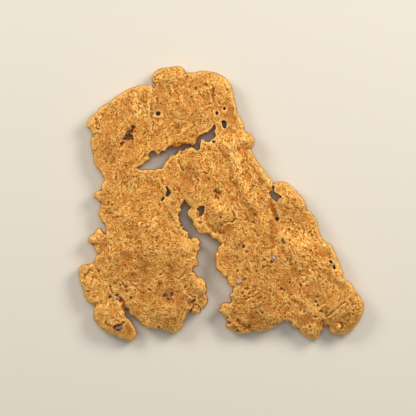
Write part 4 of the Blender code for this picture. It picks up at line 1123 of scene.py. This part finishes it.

# %% [markdown]
# ## Native gold
#
# Native gold is a metal, so it has no colour of its own under the shine: all of its colour is in
# its reflection. Stream sand has left this surface matt. The felt is a bright yellow, and the worn
# patches are a duller brown-gold. The hollows of the felt are painted a deeper brown-orange, which
# is painted shade, and the crests paler, which is rubbed wear and a painted highlight. The tones add
# painted light and shade as well. The pits and cracks are painted dark brown, partly as clay and
# partly as painted shade, and the ironstone is dark brown. These aren't metal, and hardly shine. The
# attributes say where each is, and fine noise breaks them up.

# %% The felt and the worn patches
gold, tree, shader = new_material("stream_worn_native_gold")
place = add_node(tree, "TexCoord").node.outputs["Object"]
KEPT = ["worn", "tone", "crest", "pit", "orange_stain", "ironstone"]
KEPT += [f"run_{turn}" for turn in RUN_TURNS]
kept = {
    name: add_node(tree, "Attribute", {"attribute_name": name}).node.outputs["Fac"]
    for name in KEPT
}
FELT_SIZE, STROKE_SIZE, STROKE_STRETCH = 0.3, 0.6, 3.2  # millimetres, and how long a stroke is
BLOTCH_SIZE, SPECK_SIZE, GRAIN_DEPTH = 0.7, 0.35, 0.14  # millimetres
felt = add_node(
    tree, "TexNoise",
    values={"Scale": PER_METRE / FELT_SIZE, "Detail": 3, "Roughness": 0.65, "Distortion": 0.6},
    links={"Vector": place},
)
strokes = None
for turn in RUN_TURNS:
    along = add_node(
        tree, "Mapping", {"vector_type": "TEXTURE"},
        {"Rotation": (0, 0, math.radians(turn)), "Scale": (STROKE_STRETCH, 1, 1)},
        {"Vector": place},
    )
    crease = add_node(
        tree, "TexNoise", (), {
            "Scale": PER_METRE / STROKE_SIZE, "Detail": 2, "Roughness": 0.6, "Distortion": 0.45,
        }, {"Vector": along},
    )
    side = add_node(tree, "Math", {"operation": "SUBTRACT"}, {1: 0.5}, {0: crease})
    size = add_node(tree, "Math", {"operation": "ABSOLUTE"}, (), {0: side})
    sharp = add_node(
        tree, "MapRange", values={"From Min": 0.0, "From Max": 0.1, "To Min": 1.0, "To Max": 0.0},
        links={"Value": size},
    )
    stroke = add_node(
        tree, "Math", {"operation": "MULTIPLY"}, (), {0: sharp, 1: kept[f"run_{turn}"]},
    )
    strokes = stroke if strokes is None else add_node(
        tree, "Math", {"operation": "MAXIMUM"}, (), {0: strokes, 1: stroke},
    )
grain = add_node(tree, "Mix", {"data_type": "FLOAT"}, {"Factor": 0.6}, {"A": felt, "B": strokes})

# %% The gold's colour
felt_colour = add_node(
    tree, "ValToRGB", links={"Fac": grain},
    stops=[(0.27, "#9A4E0C"), (0.4, "#C8761C"), (0.54, "#E39A32"), (0.7, "#F6CF82")],
)
worn_colour = add_node(
    tree, "ValToRGB", links={"Fac": grain},
    stops=[(0.27, "#A0541A"), (0.42, "#C1732E"), (0.72, "#E3A556")],
)
blotch = add_node(
    tree, "TexNoise", values={"Scale": PER_METRE / BLOTCH_SIZE, "Detail": 2},
    links={"Vector": place},
)
dull = add_node(
    tree, "MapRange", values={"From Min": 0.35, "From Max": 0.65, "To Min": -0.32, "To Max": 0.32},
    links={"Value": blotch},
)
duller = add_node(
    tree, "Math", {"operation": "ADD", "use_clamp": True}, (),
    {0: dull, 1: kept["worn"]},
)
surface = add_node(
    tree, "Mix", {"data_type": "RGBA"},
    links={"Factor": duller, "A": felt_colour, "B": worn_colour},
)
# The tones brighten and darken the colour: worn and fresh places, and painted light and shade.
toned = add_node(
    tree, "Mix", {"data_type": "RGBA", "blend_type": "MULTIPLY"}, {"Factor": 1.0},
    {"A": surface, "B": add_node(
        tree, "MapRange", values={"To Min": 0.54, "To Max": 1.16}, links={"Value": kept["tone"]},
    )},
)

# %% How much of each coat there is
# Painted shade: where the crest attribute is low, the hollows of the felt get a deeper brown-orange.
hollow = add_node(
    tree, "MapRange", values={"From Min": 0.42, "From Max": 0.05, "To Max": 0.7},
    links={"Value": kept["crest"]},
)
# Painted highlight, and partly rubbed wear: the crests are made paler.
rubbed = add_node(
    tree, "MapRange", values={"From Min": 0.55, "From Max": 0.95, "To Max": 0.6},
    links={"Value": kept["crest"]},
)
speck = add_node(
    tree, "TexNoise", values={"Scale": PER_METRE / SPECK_SIZE, "Detail": 1},
    links={"Vector": place},
)
lodged = add_node(
    tree, "MapRange", values={"From Min": 0.35, "From Max": 0.65, "To Min": 0.5, "To Max": 1.5},
    links={"Value": speck},
)
# The dark brown in the pits, cracks and pinholes is clay and painted shade.
dirt_and_shade_amount = add_node(tree, "Math", {"operation": "MULTIPLY"}, (), {0: lodged, 1: kept["pit"]})
dirt_and_shade_coat = add_node(
    tree, "MapRange", values={"From Min": 0.2, "From Max": 1.05, "To Max": 0.95},
    links={"Value": dirt_and_shade_amount},
)
soaked, iron_coat = [
    add_node(
        tree, "Math", {"operation": "MULTIPLY", "use_clamp": True}, (), {0: lodged, 1: kept[name]},
    ) for name in ("orange_stain", "ironstone")
]

# %% The coats, one over the other
colour = toned
for coat, share in (
    # painted shade in the hollows of the felt
    ("#A4520C", hollow),  # brown-orange in the hollows of the felt
    # painted highlight on the crests, partly rubbed wear
    ("#FFD686", rubbed),  # pale on the rubbed crests
    # clay and painted shade in the pits and cracks
    ("#642A04", dirt_and_shade_coat),  # clay in the pits and cracks
    ("#AE5C12", soaked),  # iron oxide
    ("#451A10", iron_coat),  # ironstone
):
    colour = add_node(
        tree, "Mix", {"data_type": "RGBA"}, {"B": linear(coat)}, {"Factor": share, "A": colour},
    )
tree.links.new(colour, shader.inputs["Base Color"])

# %% The gold's shine and grain
# The clay and painted shade in the pits, and the ironstone, are made non-metal with little shine.
coated = add_node(tree, "Math", {"operation": "MAXIMUM"}, (), {0: iron_coat, 1: dirt_and_shade_coat})
earth_and_shade_shine = add_node(tree, "MapRange", values={"To Min": 0.5, "To Max": 0.1}, links={"Value": coated})
tree.links.new(earth_and_shade_shine, shader.inputs["Specular IOR Level"])
metal = add_node(tree, "MapRange", values={"To Min": 1.0, "To Max": 0.1}, links={"Value": coated})
tree.links.new(metal, shader.inputs["Metallic"])
matt = add_node(
    tree, "MapRange",
    values={"From Min": 0.3, "From Max": 0.7, "To Min": 0.72, "To Max": 0.54},
    links={"Value": grain},
)
tree.links.new(matt, shader.inputs["Roughness"])
depth = add_node(
    tree, "MapRange", values={"To Min": 1.0, "To Max": 0.5}, links={"Value": kept["worn"]},
)
bumped = add_node(
    tree, "Bump", values={"Distance": GRAIN_DEPTH * MM},
    links={"Height": grain, "Strength": depth},
)
tree.links.new(bumped, shader.inputs["Normal"])
nugget.data.materials.clear()
nugget.data.materials.append(gold)
print("the gold's material has", len(tree.nodes), "nodes")

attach(nugget, "root")
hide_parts("gold_nugget")

# %% [markdown]
# ## Quartz
#
# Quartz has no cleavage: it breaks into curved, sharp-edged chips. Most of these grains are milky
# and a little see-through, with a lilac tinge, and two are stained brown by iron. Each starts as an
# ico sphere and is cut by a few planes in edit mode. A fine remesh then takes the sharpness off its
# edges, and it is half sunk in the gold.

# %% The quartz's look
CLOUD_SIZE = 0.5  # millimetres between cloudy and clear


def quartz_look(name, stops, roughness, see_through):
    """Quartz with cloudy patches in the colours of the stops."""
    made, tree, shader = new_material(name)
    place = add_node(tree, "TexCoord").node.outputs["Object"]
    cloud = add_node(
        tree, "TexNoise", (), {"Scale": PER_METRE / CLOUD_SIZE, "Detail": 2}, {"Vector": place}
    )
    tinted = add_node(tree, "ValToRGB", links={"Fac": cloud}, stops=stops)
    tree.links.new(tinted, shader.inputs["Base Color"])
    shader.inputs["Roughness"].default_value = roughness
    shader.inputs["IOR"].default_value = 1.544
    shader.inputs["Transmission Weight"].default_value = see_through
    return made


milky = quartz_look(
    "broken_milky_quartz", [(0.35, "#7C6468"), (0.5, "#AC98A0"), (0.7, "#DDD0CC")], 0.28, 0.15
)
smoky = quartz_look(
    "iron_stained_quartz", [(0.35, "#3E2420"), (0.55, "#684844"), (0.75, "#947874")], 0.35, 0
)
print("looks of the quartz:", milky.name, "and", smoky.name)

# %% Break each grain out of an ico sphere
# How each chip lies: (across, down, length, width, turn in degrees, material)
CHIPS = {
    "quartz_at_notch": (239.2, 281.8, 5.4, 4.8, 60, milky),
    "quartz_beside_foot_groove": (126, 304.4, 4, 2.2, 75, milky),
    "quartz_in_edge_slit": (331.4, 264.6, 5, 2.4, -25, milky),
    "quartz_in_fold_valley": (274.2, 258.2, 6.5, 3, -48, milky),
    "quartz_in_left_foot": (118, 328.3, 7.4, 5.6, 15, smoky),
    "quartz_in_left_hollow": (117.7, 298.2, 4.4, 3.6, -45, milky),
    "quartz_in_lower_left_lobe": (169.4, 298, 4.6, 3.6, 0, smoky),
    "quartz_on_right_shoulder": (237, 246.6, 2.6, 2.2, 0, milky),
}
CUTS, CUT_FROM, CUT_SPREAD = 7, 0.72, 0.16  # how many planes, and how far from the middle
CHIP_SEED, CHIP_VOXEL, CHIP_FACES_LEFT = 11, 0.04, 0.5


def quartz_grain(name):
    """A ball with a radius of 1 metre and flat faces broken off it, to be scaled down."""
    bpy.ops.mesh.primitive_ico_sphere_add(subdivisions=4, radius=1)
    grain = bpy.context.view_layer.objects.active
    grain.name = name
    bpy.ops.object.mode_set(mode="EDIT")
    for _ in range(CUTS):
        bpy.ops.mesh.select_all(action="SELECT")
        towards = noise.random_unit_vector()
        bpy.ops.mesh.bisect(
            plane_co=towards * (CUT_FROM + CUT_SPREAD * noise.random()), plane_no=towards,
            use_fill=True, clear_outer=True,
        )
    bpy.ops.object.mode_set(mode="OBJECT")
    select_only(grain)
    return grain


PROUD = 0.05  # how far a chip's middle stands above the gold under it, in millimetres
skin = read_points(nugget)
skin = skin[skin[:, 2] > MIDDLE_HEIGHT]
noise.seed_set(CHIP_SEED)
for node, (across, down, length, width, turn, look) in CHIPS.items():
    grain = quartz_grain(node + "_chip")
    low, high = (Vector(corner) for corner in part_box(node))
    grain.data.transform(Matrix.Diagonal(
        (length * FIFTH * MM / 2, width * FIFTH * MM / 2, (high - low).z / 2, 1)
    ))
    grain.data.transform(Matrix.Rotation(math.radians(turn), 4, "Z"))
    spot = placed((across, down))
    under = skin[np.linalg.norm(skin[:, :2] - spot, axis=1) < width * FIFTH / 2]
    grain.data.transform(Matrix.Translation((*spot * MM, (under[:, 2].mean() + PROUD) * MM)))
    finish_with(grain, "REMESH", mode="VOXEL", voxel_size=CHIP_VOXEL * MM)
    finish_with(grain, "DECIMATE", ratio=CHIP_FACES_LEFT)
    grain.data.shade_smooth()
    grain.data.materials.clear()
    grain.data.materials.append(look)
    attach(grain, "root")
    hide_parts(node)
    print(node, "has", len(grain.data.polygons), "faces")

# %% [markdown]
# ## Floor, light and camera
#
# The floor is plain and pale. A metal shows what it reflects, so the light is broad and soft: two
# warm panels from the upper right and the upper left, nearly as strong as each other, a third high
# overhead, and an even, warm light all round. The camera looks straight down through a long lens,
# which shows the outline without distortion.

# %% The floor
bpy.ops.object.select_all(action="DESELECT")
FLOOR_SIZE, FLOOR_DROP = 1.2, 0.00002  # metres; just low enough not to flicker against the gold
bpy.ops.mesh.primitive_plane_add(size=FLOOR_SIZE, location=(0, 0, -FLOOR_DROP))
floor = bpy.context.view_layer.objects.active
floor.name = "floor"
paper, tree, shader = new_material("pale_paper")
shader.inputs["Base Color"].default_value = linear("#DCDAD4")
shader.inputs["Roughness"].default_value = 0.9
floor.data.materials.append(paper)
print("floor:", FLOOR_SIZE, "m across")

# %% The lights


def soft_panel(name, spot, size, watts, colour="#FFFFFF"):
    """A round panel of light, turned towards the nugget."""
    bpy.ops.object.light_add(type="AREA", location=spot)
    panel = bpy.context.view_layer.objects.active
    panel.name = name
    panel.rotation_euler = (-Vector(spot)).to_track_quat("-Z", "Y").to_euler()
    panel.data.shape = "DISK"
    panel.data.size = size
    panel.data.energy = watts
    panel.data.color = linear(colour)[:3]
    print(name, "gives", watts, "W")


WARM_WHITE = "#FFF6E8"
soft_panel("key_panel", (0.18, 0.15, 0.22), 0.16, 0.63, WARM_WHITE)
soft_panel("fill_panel", (-0.20, 0.16, 0.22), 0.16, 0.5, WARM_WHITE)
soft_panel("top_panel", (0.0, 0.1, 0.75), 0.4, 1.1)

world = bpy.data.worlds.new("soft_room")
bpy.context.scene.world = world
world.use_nodes = True
room = world.node_tree.nodes["Background"].inputs
room["Color"].default_value = linear("#F4EEE0")
room["Strength"].default_value = 0.28

# %% The camera
VIEW_WIDTH = 0.0832  # metres across the view at the nugget
AIM = (-0.00264, -0.00085)
CAMERA_HEIGHT, FACE_HEIGHT, SENSOR = 0.6, 0.003, 36  # metres, metres and millimetres
bpy.ops.object.camera_add(location=(*AIM, CAMERA_HEIGHT), rotation=(0, 0, 0))
camera = bpy.context.view_layer.objects.active
camera.name = "camera"
camera.data.sensor_width = SENSOR
camera.data.lens = SENSOR * (CAMERA_HEIGHT - FACE_HEIGHT) / VIEW_WIDTH
camera.data.clip_start = 0.01
bpy.context.scene.camera = camera
bpy.context.scene.view_settings.view_transform = "Standard"
print("lens:", camera.data.lens, "mm")
